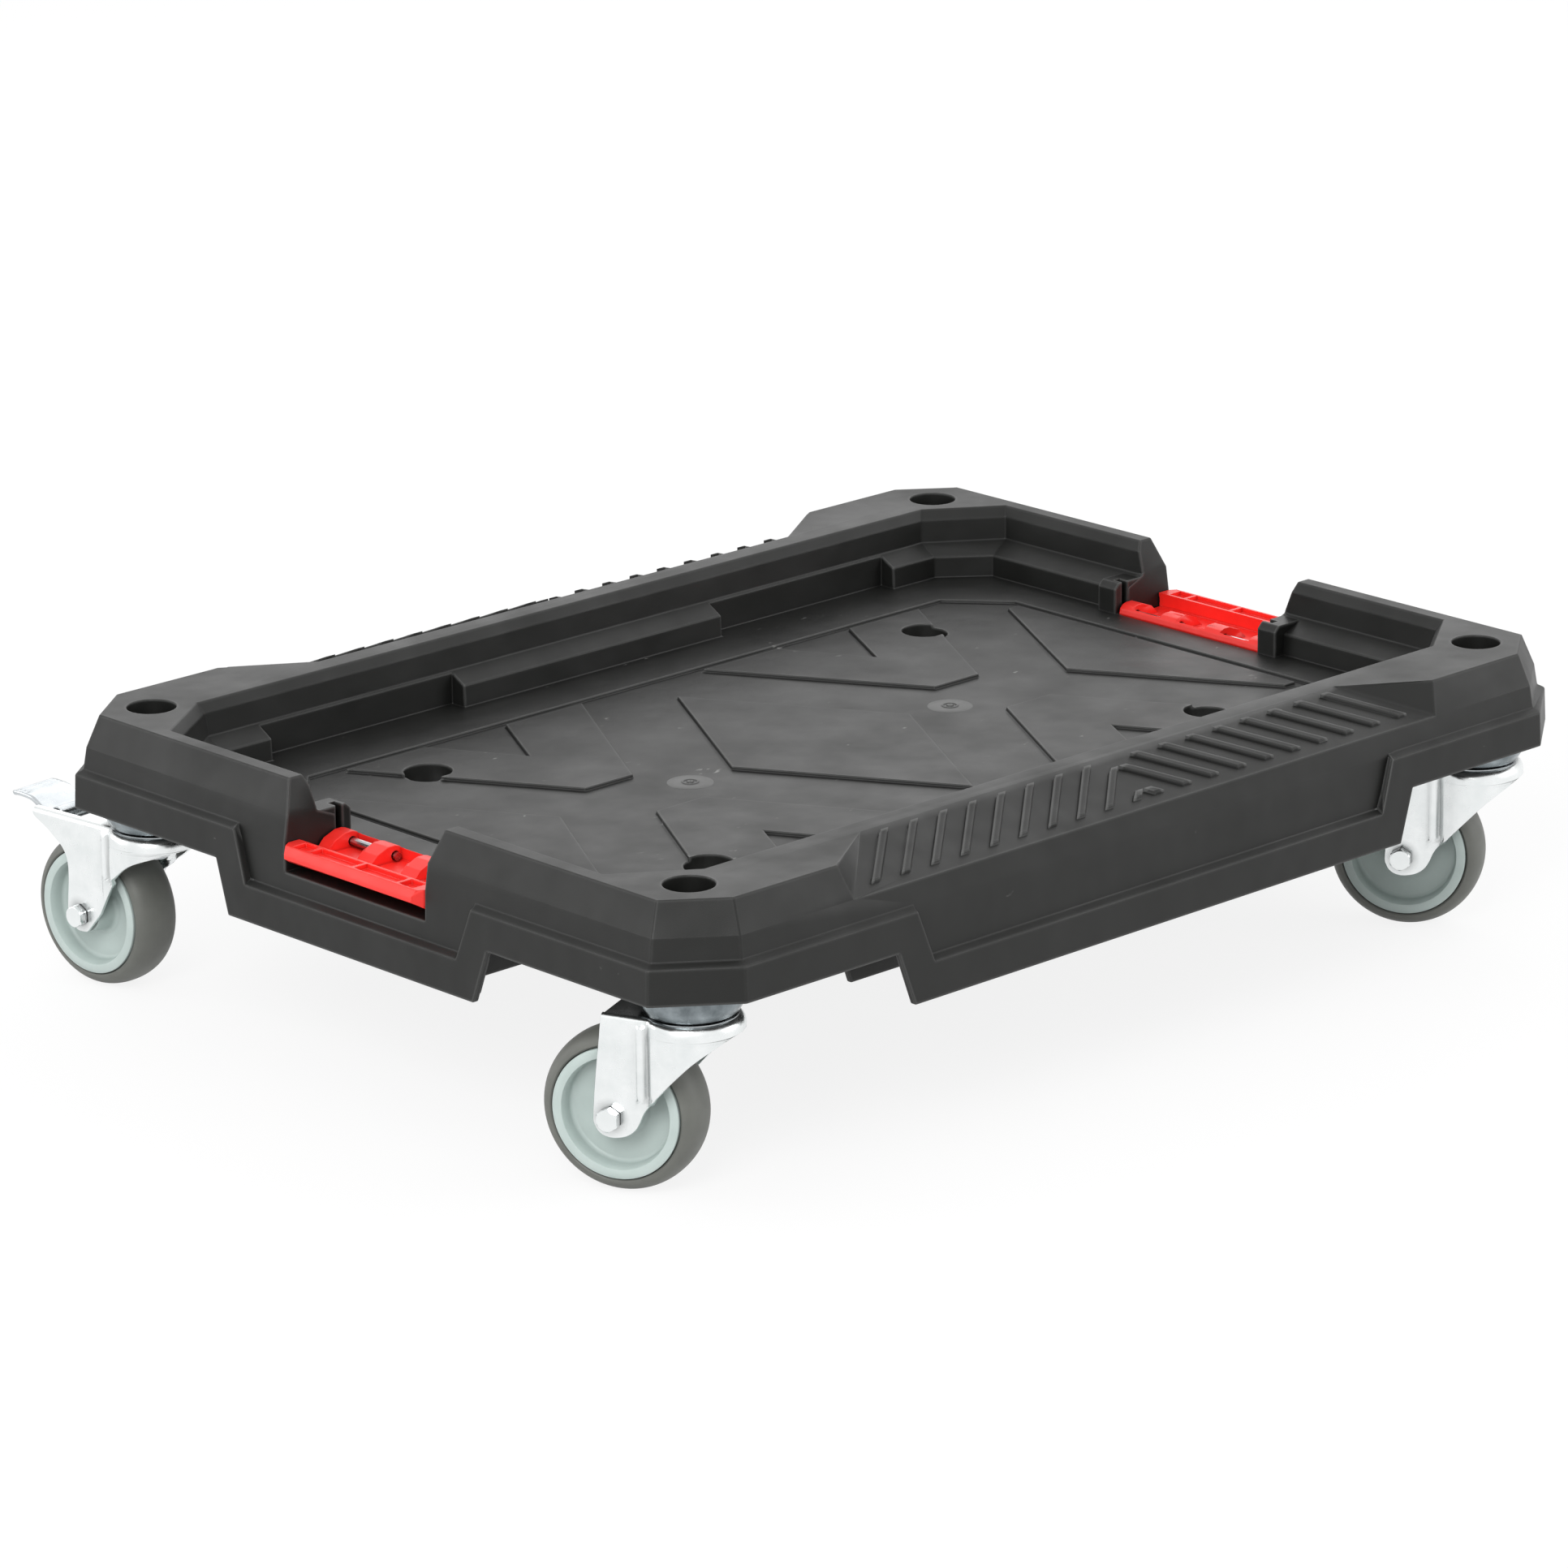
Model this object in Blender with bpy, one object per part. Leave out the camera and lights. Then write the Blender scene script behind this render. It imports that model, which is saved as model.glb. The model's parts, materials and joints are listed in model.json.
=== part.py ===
"""Plastic tray dolly on four swivel casters: one solid for each piece.

Metres, +Z up. The origin is the middle of the load floor, X runs along the tray and Y across it.
"""
import math

import bmesh
import bpy
from mathutils import Matrix, Vector

# Clearance between pieces that rest on each other, and how far cutters run past what they cut
GAP = 0.0003
PAST = 0.0100

# Tray: plan sizes over the aprons, and how far each band of the outside steps in on the way up
TRAY_LENGTH = 0.6116
TRAY_WIDTH = 0.4662
BAND_DRAFT = 0.0018
BAND_LEDGE = 0.0037
RIM_DRAFT = 0.0017
RIM_SLANT = 0.0064
CORNER_CUT_X = 0.0271
CORNER_CUT_Y = 0.0208

# Tray: heights from the load floor
RIM_TOP_Z = 0.0340
RIM_SLANT_Z = 0.0181
RIM_FOOT_Z = 0.0073
BAND_TOP_Z = 0.0052
BAND_BOTTOM_Z = -0.0121
APRON_TOP_Z = -0.0210
APRON_BOTTOM_Z = -0.0384

# Aprons: half lengths of the dropped stretch on each side, and the run of its slanted ends
SHORT_APRON_TOP = 0.0755
SHORT_APRON_FOOT = 0.0880
LONG_APRON_TOP = 0.1520
LONG_APRON_FOOT = 0.1655
APRON_RUN = 0.0092
APRON_SLOT = 0.0100

# Shell
WALL = 0.0030
FLOOR_THICKNESS = 0.0027
RIB = 0.0026
RIB_DEPTH = 0.0035
RIB_PITCH_X = 0.1050
RIB_Y = 0.0650
POCKET_WALL_Z = -0.0260
APRON_INNER = 0.0420
APRON_INNER_Z = -0.0380

# Recess inside the rim
SHORT_RIM = 0.0081
LONG_RIM = 0.0390
RECESS_CUT_X = 0.0373
RECESS_CUT_Y = 0.0261
RECESS_SLANT = 0.0027
RECESS_SLANT_Z = 0.0287
LEDGE_BACK_Z = 0.0169
LEDGE_FRONT_Z = 0.0112
LEDGE_SHORT = 0.0142
LEDGE_LONG = 0.0108
LEDGE_CUT_X = 0.0240
LEDGE_CUT_Y = 0.0198
BLOCK_MID = 0.0880
BLOCK_GAP = 0.1240
BLOCK_DEPTH = 0.0095
BLOCK_CUT = 0.0200

# Load floor: a low field round raised panels
PANEL_STEP = 0.0018
FIELD_MARGIN_X = 0.0255
FIELD_MARGIN_Y = 0.0313
FIELD_CUT_X = 0.0250
FIELD_CUT_Y = 0.0300
CHANNEL = 0.0042
DIAMOND_X = 0.0610
DIAMOND_Y = 0.1050
WEDGE_X = 0.1185
WEDGE_FOOT_Y = 0.0250
WEDGE_FOOT = 0.0155
WEDGE_SLOPE = 0.5850
NOTCH_HALF = 0.0260
NOTCH_DEPTH = 0.0470
SIDE_PANEL_X = 0.1720
SIDE_PANEL_Y = 0.0980
SIDE_PANEL_SLOPE = 0.5800
FLOOR_HOLE_X = 0.1695
FLOOR_HOLE_Y = 0.1000
FLOOR_HOLE_R = 0.0117
HOLE_TUBE_Z = -0.0160

# Hand grips on the long sides
GRIP_TOP = 0.1600
GRIP_END = 0.2016
GRIP_FOOT = 0.1970
GRIP_DEPTH = 0.0275
GRIP_RIBS = 10
GRIP_RIB_PITCH = 0.0190
GRIP_RIB_HALF = 0.0029
GRIP_RIB_PROUD = 0.0018
GRIP_RIB_FIRST = 0.1785
GRIP_RIB_SHIFT = 0.0294
GRIP_RIB_MARGIN = 0.0050

# Latches on the short sides
LATCH_INSET = 0.0388
LATCH_AXIS_Z = 0.0003
GATE_HALF = 0.0500
GATE_SPLAY = 0.0055
GATE_SILL_Z = -0.0090
LATCH_SIDE_GAP = 0.0007
LATCH_REACH = 0.0380
LATCH_CORNER = 0.0075
LATCH_BARREL_R = 0.0052
LATCH_BACK = 0.0016
LATCH_PLATE = 0.0027
LATCH_LIP_IN = 0.0250
LATCH_LIP_TOP = 0.0050
LATCH_LIP_FLAT = 0.0070
LATCH_WINDOWS = ((-0.0410, -0.0210), (-0.0100, 0.0100), (0.0210, 0.0410))
LATCH_POCKETS = ((-0.0430, -0.0330), (-0.0310, -0.0010), (0.0010, 0.0310), (0.0330, 0.0430))
LATCH_POCKET_DEPTH = 0.0025
LATCH_POCKET_BACK = 0.0015
LATCH_POCKET_FRONT = 0.0012
LATCH_HUMP_FLAT = 0.0040
LATCH_HUMP_OUT = 0.0110
LATCH_HUMP_RISE = 0.0050
LATCH_HUMP_FOOT = 0.0160
LATCH_WINDOW_OUT = 0.0075
LATCH_RAMP_IN = 0.0070
LATCH_RAMP_OUT = 0.0180
LATCH_CUT_TOP = 0.0200
LATCH_UNDER_OUT = 0.0040
LATCH_EDGE_LOW = 0.0010
LATCH_EDGE_HIGH = 0.0015
LATCH_LIP_DRAFT = 0.0006
PIN_R = 0.0020
PIN_INNER = 0.0080
PIN_BITE = 0.0045

# Casters: the swivel axes, the access holes above them and the stack under the seat
CASTER_INSET_X = 0.0398
CASTER_INSET_Y = 0.0417
ACCESS_R = 0.0120
SEAT_THICKNESS = 0.0081
BOLT_R = 0.0050
BOLT_HOLE_GAP = 0.0004
BOLT_FLATS = 0.0170
BOLT_HEAD = 0.0064
NUT_HEIGHT = 0.0080
CUP_R = 0.0250
CUP_HEIGHT = 0.0113
CUP_TOP = 0.0026
CUP_WALL = 0.0027
BALL_R = 0.0030
BALL_COUNT = 12
BALL_CIRCLE = 0.0178
CROWN_DROP = 0.0044
CROWN_PLATE = 0.0030
BUSH_WALL = 0.0024
BUSH_FLANGE_R = 0.0130
BUSH_FLANGE = 0.0026

# Casters: wheel and fork
WHEEL_R = 0.0388
CASTER_HEIGHT = 0.1018
TRAIL_PLAIN = 0.0320
TRAIL_BRAKED = 0.0360
HUB_R = 0.0313
HUB_HALF = 0.0135
HUB_RING = 0.0046
HUB_BOSS_R = 0.0095
HUB_BOSS_HALF = 0.0155
HUB_WEB_HALF = 0.0060
TYRE_HALF = 0.0128
AXLE_R = 0.0030
AXLE_FLATS = 0.0100
AXLE_HEAD = 0.0040
AXLE_NUT = 0.0050
SLEEVE_R = 0.0050
FORK_SIDE_GAP = 0.0010
FORK_PLATE = 0.0025
FORK_CROWN_R = 0.0250
FORK_END_R = 0.0083
FORK_REAR = 0.0360
FORK_BEAD_U = 0.0162
FORK_BEAD_HALF = 0.0034
FORK_BEAD_PROUD = 0.0013
WING_REAR = 0.0663
WING_DEPTH = 0.0038

# Front edges of the fork legs, from the axle
LEAD_PLAIN = ((-0.0434, 0.0343), (-0.0354, 0.0275), (-0.0282, 0.0200), (-0.0193, 0.0099), (-0.0152, 0.0027))
LEAD_BRAKED = ((-0.0508, 0.0400), (-0.0422, 0.0353), (-0.0305, 0.0270), (-0.0246, 0.0225), (-0.0215, 0.0127))

# Brakes: the pedal's pivot and its bends, measured from the swivel axis and the caster seat
PEDAL_HALF = 0.0130
PEDAL_PLATE = 0.0022
PEDAL_PIVOT_U = 0.0555
PEDAL_PIVOT_W = -0.0172
PEDAL_KNUCKLE_R = 0.0042
PEDAL_BEND_U = 0.0655
PEDAL_STEP_U = 0.0745
PEDAL_END_U = 0.0895
PEDAL_RISE = 0.0048
PEDAL_PIN_R = 0.0020
SHOE_GAP = 0.0020
SHOE_PLATE = 0.0025
SHOE_HALF = 0.0110

# Segments round the turned pieces
WHEEL_SIDES = 24
CUP_SIDES = 20
HOLE_SIDES = 28
SMALL_SIDES = 12

# Each caster: the corner it stands at, its heading in degrees from +X and whether it has a brake
CASTERS = {
    "front": (-1, -1, 114.0, False),
    "left": (-1, 1, 96.0, True),
    "right": (1, -1, 121.0, False),
    "back": (1, 1, 84.0, True),
}

# Sizes that follow from the ones above
FLARE = BAND_DRAFT + BAND_LEDGE + RIM_DRAFT + RIM_SLANT
TOP_X = TRAY_LENGTH / 2 - FLARE
TOP_Y = TRAY_WIDTH / 2 - FLARE
RECESS_X = TOP_X - SHORT_RIM
RECESS_Y = TOP_Y - LONG_RIM
LEDGE_BACK_INSET = RECESS_SLANT + 0.0010
FOOT_X = RECESS_X - LEDGE_BACK_INSET - LEDGE_SHORT
FOOT_Y = RECESS_Y - LEDGE_BACK_INSET - LEDGE_LONG
FLOOR_UNDER_Z = -PANEL_STEP - FLOOR_THICKNESS
LATCH_X = TRAY_LENGTH / 2 - LATCH_INSET
CASTER_X = TRAY_LENGTH / 2 - CASTER_INSET_X
CASTER_Y = TRAY_WIDTH / 2 - CASTER_INSET_Y
SEAT_Z = BAND_BOTTOM_Z
SEAT_TOP_Z = SEAT_Z + SEAT_THICKNESS
AXLE_DROP = CASTER_HEIGHT - WHEEL_R
BORE_R = BOLT_R + BOLT_HOLE_GAP
BUSH_R = BORE_R + BUSH_WALL
RACE_TOP = -CUP_TOP - 2 * BALL_R - 2 * GAP
CROWN_TOP = RACE_TOP - CROWN_DROP
CROWN_UNDER = CROWN_TOP - CROWN_PLATE
BUSH_END = CROWN_UNDER - 2 * GAP - BUSH_FLANGE
FORK_IN = HUB_BOSS_HALF + FORK_SIDE_GAP
FORK_OUT = FORK_IN + FORK_PLATE
FAR = 0.10


def mesh_object(name, points, faces):
    mesh = bpy.data.meshes.new(name)
    mesh.from_pydata([tuple(p) for p in points], [], faces)
    obj = bpy.data.objects.new(name, mesh)
    bpy.context.scene.collection.objects.link(obj)
    tidy(obj)
    return obj


def tidy(obj):
    bm = bmesh.new()
    bm.from_mesh(obj.data)
    bmesh.ops.remove_doubles(bm, verts=bm.verts, dist=2e-6)
    bmesh.ops.dissolve_degenerate(bm, edges=bm.edges, dist=2e-6)
    bmesh.ops.recalc_face_normals(bm, faces=bm.faces)
    bm.to_mesh(obj.data)
    bm.free()


def loft(name, rings):
    """A closed solid through rings of points that all have the same count."""
    count = len(rings[0])
    points = [p for ring in rings for p in ring]
    faces = [tuple(reversed(range(count)))]
    for k in range(len(rings) - 1):
        for i in range(count):
            j = (i + 1) % count
            faces.append((k * count + i, k * count + j, (k + 1) * count + j, (k + 1) * count + i))
    last = (len(rings) - 1) * count
    faces.append(tuple(last + i for i in range(count)))
    return mesh_object(name, points, faces)


def prism(name, outline, low, high):
    """A flat outline in X and Y, drawn up from low to high."""
    return loft(name, [[(x, y, z) for x, y in outline] for z in (low, high)])


def side_prism(name, outline, half):
    """A flat outline in X and Z, drawn across Y to both sides of the middle."""
    return loft(name, [[(x, y, z) for x, z in outline] for y in (-half, half)])


def box(name, low, high):
    outline = [(low[0], low[1]), (high[0], low[1]), (high[0], high[1]), (low[0], high[1])]
    return prism(name, outline, low[2], high[2])


def circle(radius, sides, turn=0.5):
    """Corners of a regular polygon whose flats lie at the radius."""
    reach = radius / math.cos(math.pi / sides)
    angles = [2 * math.pi * (i + turn) / sides for i in range(sides)]
    return [(reach * math.cos(a), reach * math.sin(a)) for a in angles]


def rod(name, stations, sides):
    """A solid of revolution about Z through (radius, z) stations, closed by flat ends."""
    return loft(name, [[(x, y, z) for x, y in circle(r, sides)] for r, z in stations])


def ring(name, profile, sides):
    """A ring about Z from a closed (radius, z) profile that stays off the axis."""
    count = len(profile)
    columns = [circle(r, sides) for r, _ in profile]
    points = [(*columns[p][s], profile[p][1]) for s in range(sides) for p in range(count)]
    faces = []
    for s in range(sides):
        t = (s + 1) % sides
        for p in range(count):
            q = (p + 1) % count
            faces.append((s * count + p, t * count + p, t * count + q, s * count + q))
    return mesh_object(name, points, faces)


def combine(target, tools, operation):
    """Boolean of the target with each tool in turn. The tools are used up."""
    for tool in tools:
        modifier = target.modifiers.new("cut", "BOOLEAN")
        modifier.solver = "EXACT"
        modifier.operation = operation
        modifier.object = tool
        graph = bpy.context.evaluated_depsgraph_get()
        graph.update()
        mesh = bpy.data.meshes.new_from_object(target.evaluated_get(graph))
        target.modifiers.clear()
        old = target.data
        target.data = mesh
        bpy.data.meshes.remove(old)
        tidy(target)
        spent = tool.data
        bpy.data.objects.remove(tool)
        bpy.data.meshes.remove(spent)
    return target


def cut(target, *tools):
    return combine(target, tools, "DIFFERENCE")


def add(target, *tools):
    return combine(target, tools, "UNION")


def keep(target, *tools):
    return combine(target, tools, "INTERSECT")


def turn_to_y(obj):
    """Lays a piece that was made about Z along Y, its top toward +Y."""
    obj.data.transform(Matrix.Rotation(math.radians(-90), 4, "X"))
    tidy(obj)
    return obj


def moved(obj, x, y, z):
    obj.data.transform(Matrix.Translation((x, y, z)))
    return obj


def mirrored(obj, x=1, y=1):
    """The same solid on another side of the tray."""
    obj.data.transform(Matrix.Diagonal((x, y, 1, 1)))
    tidy(obj)
    return obj


def octagon(half_x, half_y, cut_x, cut_y):
    quarter = [(half_x, half_y - cut_y), (half_x - cut_x, half_y)]
    second = [(-x, y) for x, y in reversed(quarter)]
    return quarter + second + [(-x, -y) for x, y in quarter + second]


def grown(half_x, half_y, cut_x, cut_y, out):
    """An octagon with every side moved out by the same distance."""
    slope = math.hypot(cut_x, cut_y)
    step_y = out * (slope - cut_y) / cut_x
    step_x = out * (slope - cut_x) / cut_y
    return octagon(half_x + out, half_y + out, cut_x + out - step_x, cut_y + out - step_y)


def outer_ring(out, z):
    return [(x, y, z) for x, y in grown(TOP_X, TOP_Y, CORNER_CUT_X, CORNER_CUT_Y, out)]


def corners():
    return [(x, y) for x in (-1, 1) for y in (-1, 1)]


def apron_gaps(extra, run_out):
    """What is cut from the band above each apron. Extra makes the cut larger all round."""
    tools = []
    rise = RIM_TOP_Z - APRON_TOP_Z
    drop = (RIM_FOOT_Z - BAND_TOP_Z) * run_out / BAND_LEDGE
    run = APRON_RUN * rise / (BAND_TOP_Z - APRON_TOP_Z)
    slope_z = APRON_TOP_Z - extra
    for half, edge, along_x in ((SHORT_APRON_TOP, TOP_X, False), (LONG_APRON_TOP, TOP_Y, True)):
        inner = edge + FLARE - run_out - extra
        outer = edge + FLARE + run_out
        low = half + extra
        for side in (-1, 1):
            ring_in = [(-low, slope_z + drop), (low, slope_z + drop), (low + run, RIM_TOP_Z), (-low - run, RIM_TOP_Z)]
            ring_out = [(-low, slope_z - drop), (low, slope_z - drop), (low + run, RIM_TOP_Z), (-low - run, RIM_TOP_Z)]
            rings = []
            for reach, outline in ((inner, ring_in), (outer, ring_out)):
                if along_x:
                    rings.append([(a, side * reach, z) for a, z in outline])
                else:
                    rings.append([(side * reach, a, z) for a, z in outline])
            tools.append(loft("apron_gap", rings))
    return tools


def corner_cuts():
    """What is cut below the band at each corner, between the aprons, where the casters swing."""
    tools = []
    deep = APRON_BOTTOM_Z - PAST
    run = APRON_RUN * (BAND_BOTTOM_Z - deep) / (BAND_BOTTOM_Z - APRON_BOTTOM_Z)
    x_top = LONG_APRON_FOOT + APRON_RUN
    y_top = SHORT_APRON_FOOT + APRON_RUN
    far_x = TRAY_LENGTH / 2 + FAR
    far_y = TRAY_WIDTH / 2 + FAR
    for sx, sy in corners():
        rings = []
        for z, back in ((deep, run), (BAND_BOTTOM_Z, 0)):
            near_x = x_top - back
            near_y = y_top - back
            outline = [(near_x, near_y), (far_x, near_y), (far_x, far_y), (near_x, far_y)]
            rings.append([(sx * x, sy * y, z) for x, y in outline])
        tools.append(loft("corner_cut", rings))
    return tools


def recess_solid(out, down):
    """The space inside the rim. Out and down make the same space with walls round it."""
    top = RECESS_SLANT / (RIM_TOP_Z - RECESS_SLANT_Z) * FAR
    levels = [
        (FOOT_X, FOOT_Y, LEDGE_CUT_X, LEDGE_CUT_Y, -down),
        (FOOT_X + 0.0005, FOOT_Y + 0.0005, LEDGE_CUT_X, LEDGE_CUT_Y, LEDGE_FRONT_Z - out),
        (RECESS_X - LEDGE_BACK_INSET, RECESS_Y - LEDGE_BACK_INSET, RECESS_CUT_X, RECESS_CUT_Y, LEDGE_BACK_Z - out),
        (RECESS_X - RECESS_SLANT, RECESS_Y - RECESS_SLANT, RECESS_CUT_X, RECESS_CUT_Y, RECESS_SLANT_Z),
        (RECESS_X, RECESS_Y, RECESS_CUT_X, RECESS_CUT_Y, RIM_TOP_Z),
        (RECESS_X + top, RECESS_Y + top, RECESS_CUT_X, RECESS_CUT_Y, RIM_TOP_Z + FAR),
    ]
    rings = [[(x, y, z) for x, y in grown(hx, hy, cx, cy, out)] for hx, hy, cx, cy, z in levels]
    return loft("recess", rings)


def block_gaps(out, down):
    """The stretches of the long walls between the stacking blocks."""
    tools = []
    high = RECESS_SLANT_Z - 0.004
    for sx, sy in corners():
        x_near = sx * (BLOCK_MID - out)
        x_far = sx * (BLOCK_MID + BLOCK_GAP + out)
        y_near = sy * (FOOT_Y - BLOCK_CUT)
        y_far = sy * (FOOT_Y + BLOCK_DEPTH + out)
        low = (min(x_near, x_far), min(y_near, y_far), -down)
        tools.append(box("block_gap", low, (max(x_near, x_far), max(y_near, y_far), high)))
    return tools


def gates(out):
    """The gaps in the short sides that the latches fold through."""
    tools = []
    for side in (-1, 1):
        inner = LATCH_X - LATCH_BARREL_R - 2 * GAP - out
        outer = TRAY_LENGTH / 2 + FAR
        splay = GATE_SPLAY * (RIM_TOP_Z + FAR - RIM_SLANT_Z) / (RIM_TOP_Z - RIM_SLANT_Z)
        levels = [
            (GATE_SILL_Z - out, GATE_HALF + out),
            (RIM_SLANT_Z, GATE_HALF + out),
            (RIM_TOP_Z + FAR, GATE_HALF + out + splay),
        ]
        rings = []
        for z, half in levels:
            outline = [(inner, -half), (outer, -half), (outer, half), (inner, half)]
            rings.append([(side * x, y, z) for x, y in outline])
        tools.append(loft("gate", rings))
    return tools


def grip_line():
    """Height of the grip slope at a distance across the tray."""
    high_y = TOP_Y - GRIP_DEPTH
    low_y = TOP_Y + RIM_SLANT
    fall = (RIM_TOP_Z - RIM_SLANT_Z) / (low_y - high_y)
    return lambda y: RIM_TOP_Z - (y - high_y) * fall


def grips(out):
    """The sloped cuts in the long sides. Out moves the same faces into the material."""
    tools = []
    for side in (-1, 1):
        near = Vector((GRIP_TOP + out, TOP_Y - GRIP_DEPTH - out * 0.4, RIM_TOP_Z - out * 0.9))
        end = Vector((GRIP_END + out, TOP_Y - out * 0.4, RIM_TOP_Z - out * 0.9))
        foot = Vector((GRIP_FOOT + out, TOP_Y + RIM_SLANT - out * 0.4, RIM_SLANT_Z - out * 0.9))
        low = near + 2 * (foot - near)
        high = low + 3 * (end - foot)
        back = near + (end - foot)
        quarter = [near, low, high, back]
        rings = []
        for turn in (-1, 1):
            rings.append([(turn * p.x, side * p.y, p.z) for p in quarter])
        tools.append(loft("grip", rings))
    return tools


def grip_ribs():
    """Raised bars in a chevron pattern on the grip slopes."""
    tools = []
    slope = grip_line()
    y_low = TOP_Y + RIM_SLANT - GRIP_RIB_MARGIN
    y_high = TOP_Y - GRIP_DEPTH + GRIP_RIB_MARGIN * 0.8
    for k in range(GRIP_RIBS):
        start = GRIP_RIB_FIRST - k * GRIP_RIB_PITCH
        share = min(1.0, (start - GRIP_RIB_HALF - GAP) / GRIP_RIB_SHIFT)
        end = start - GRIP_RIB_SHIFT * share
        y_end = y_low + (y_high - y_low) * share
        outline = [(start - GRIP_RIB_HALF, y_low), (start + GRIP_RIB_HALF, y_low)]
        outline += [(end + GRIP_RIB_HALF, y_end), (end - GRIP_RIB_HALF, y_end)]
        for sx, sy in corners():
            rings = []
            for lift in (-0.0010, GRIP_RIB_PROUD):
                rings.append([(sx * x, sy * y, slope(y) + lift) for x, y in outline])
            tools.append(loft("grip_rib", rings))
    return tools


def joined(name, objects):
    """Several separate closed shells as one tool."""
    bm = bmesh.new()
    for obj in objects:
        bm.from_mesh(obj.data)
        spent = obj.data
        bpy.data.objects.remove(obj)
        bpy.data.meshes.remove(spent)
    mesh = bpy.data.meshes.new(name)
    bm.to_mesh(mesh)
    bm.free()
    obj = bpy.data.objects.new(name, mesh)
    bpy.context.scene.collection.objects.link(obj)
    return obj


def corner_posts():
    """Tubes and seats that stay solid at the corners of the hollow underside, and tubes round the floor holes."""
    tools = []
    reach = 0.044
    for sx, sy in corners():
        tube = rod("tube", [(ACCESS_R + WALL, SEAT_Z - 0.001), (ACCESS_R + WALL, RIM_TOP_Z + PAST)], HOLE_SIDES)
        tools.append(moved(tube, sx * CASTER_X, sy * CASTER_Y, 0))
        tube = rod("tube", [(FLOOR_HOLE_R + WALL, HOLE_TUBE_Z), (FLOOR_HOLE_R + WALL, LEDGE_FRONT_Z)], HOLE_SIDES)
        tools.append(moved(tube, sx * FLOOR_HOLE_X, sy * FLOOR_HOLE_Y, 0))
        low = (CASTER_X - reach, CASTER_Y - reach, SEAT_Z - 0.005)
        seat = box("seat", low, (CASTER_X + FAR, CASTER_Y + FAR, SEAT_TOP_Z))
        tools.append(mirrored(seat, sx, sy))
    return tools


def underside_ribs():
    """Walls that stay solid under the floor: a grid of ribs and the walls beside the casters."""
    tools = []
    far_x = TRAY_LENGTH / 2
    far_y = TRAY_WIDTH / 2
    top = LEDGE_FRONT_Z
    rib_low = FLOOR_UNDER_Z - RIB_DEPTH
    for k in (-1, 0, 1):
        x = k * RIB_PITCH_X
        tools.append(box("rib", (x - RIB / 2, -far_y, rib_low), (x + RIB / 2, far_y, top)))
    for side in (-1, 1):
        y = side * RIB_Y
        tools.append(box("rib", (-far_x, y - RIB / 2, rib_low), (far_x, y + RIB / 2, top)))
    for sx, sy in corners():
        low = (LONG_APRON_FOOT, SHORT_APRON_FOOT, POCKET_WALL_Z)
        wall = box("pocket", low, (far_x, SHORT_APRON_FOOT + WALL, top))
        tools.append(mirrored(wall, sx, sy))
    near_y = far_y - APRON_INNER - WALL
    for side in (-1, 1):
        wall = box("beam", (-far_x, near_y, APRON_INNER_Z), (far_x, near_y + WALL, top))
        tools.append(mirrored(wall, 1, side))
    return tools


def floor_field():
    """The low field of the load floor, cut round the raised panels."""
    half_x = FOOT_X - FIELD_MARGIN_X
    half_y = FOOT_Y - FIELD_MARGIN_Y
    field = prism("field", octagon(half_x, half_y, FIELD_CUT_X, FIELD_CUT_Y), -PANEL_STEP, 0.001)
    low = -0.01
    high = 0.01
    panels = [prism("panel", [(DIAMOND_X, 0), (0, DIAMOND_Y), (-DIAMOND_X, 0), (0, -DIAMOND_Y)], low, high)]
    top_y = half_y - CHANNEL
    half_top = WEDGE_FOOT + (top_y - WEDGE_FOOT_Y) * WEDGE_SLOPE
    wedge = [(WEDGE_X - WEDGE_FOOT, WEDGE_FOOT_Y), (WEDGE_X + WEDGE_FOOT, WEDGE_FOOT_Y)]
    wedge += [(WEDGE_X + half_top, top_y), (WEDGE_X + NOTCH_HALF, top_y)]
    wedge += [(WEDGE_X, top_y - NOTCH_DEPTH), (WEDGE_X - NOTCH_HALF, top_y), (WEDGE_X - half_top, top_y)]
    for sx, sy in corners():
        panels.append(mirrored(prism("panel", wedge, low, high), sx, sy))
    edge_x = half_x - CHANNEL
    near_x = SIDE_PANEL_X + SIDE_PANEL_Y * SIDE_PANEL_SLOPE
    side_panel = [(SIDE_PANEL_X, 0), (near_x, -SIDE_PANEL_Y), (edge_x, -SIDE_PANEL_Y)]
    side_panel += [(edge_x, SIDE_PANEL_Y), (near_x, SIDE_PANEL_Y)]
    for sx in (-1, 1):
        panels.append(mirrored(prism("panel", side_panel, low, high), sx, 1))
    return cut(field, joined("panels", panels))


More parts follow.
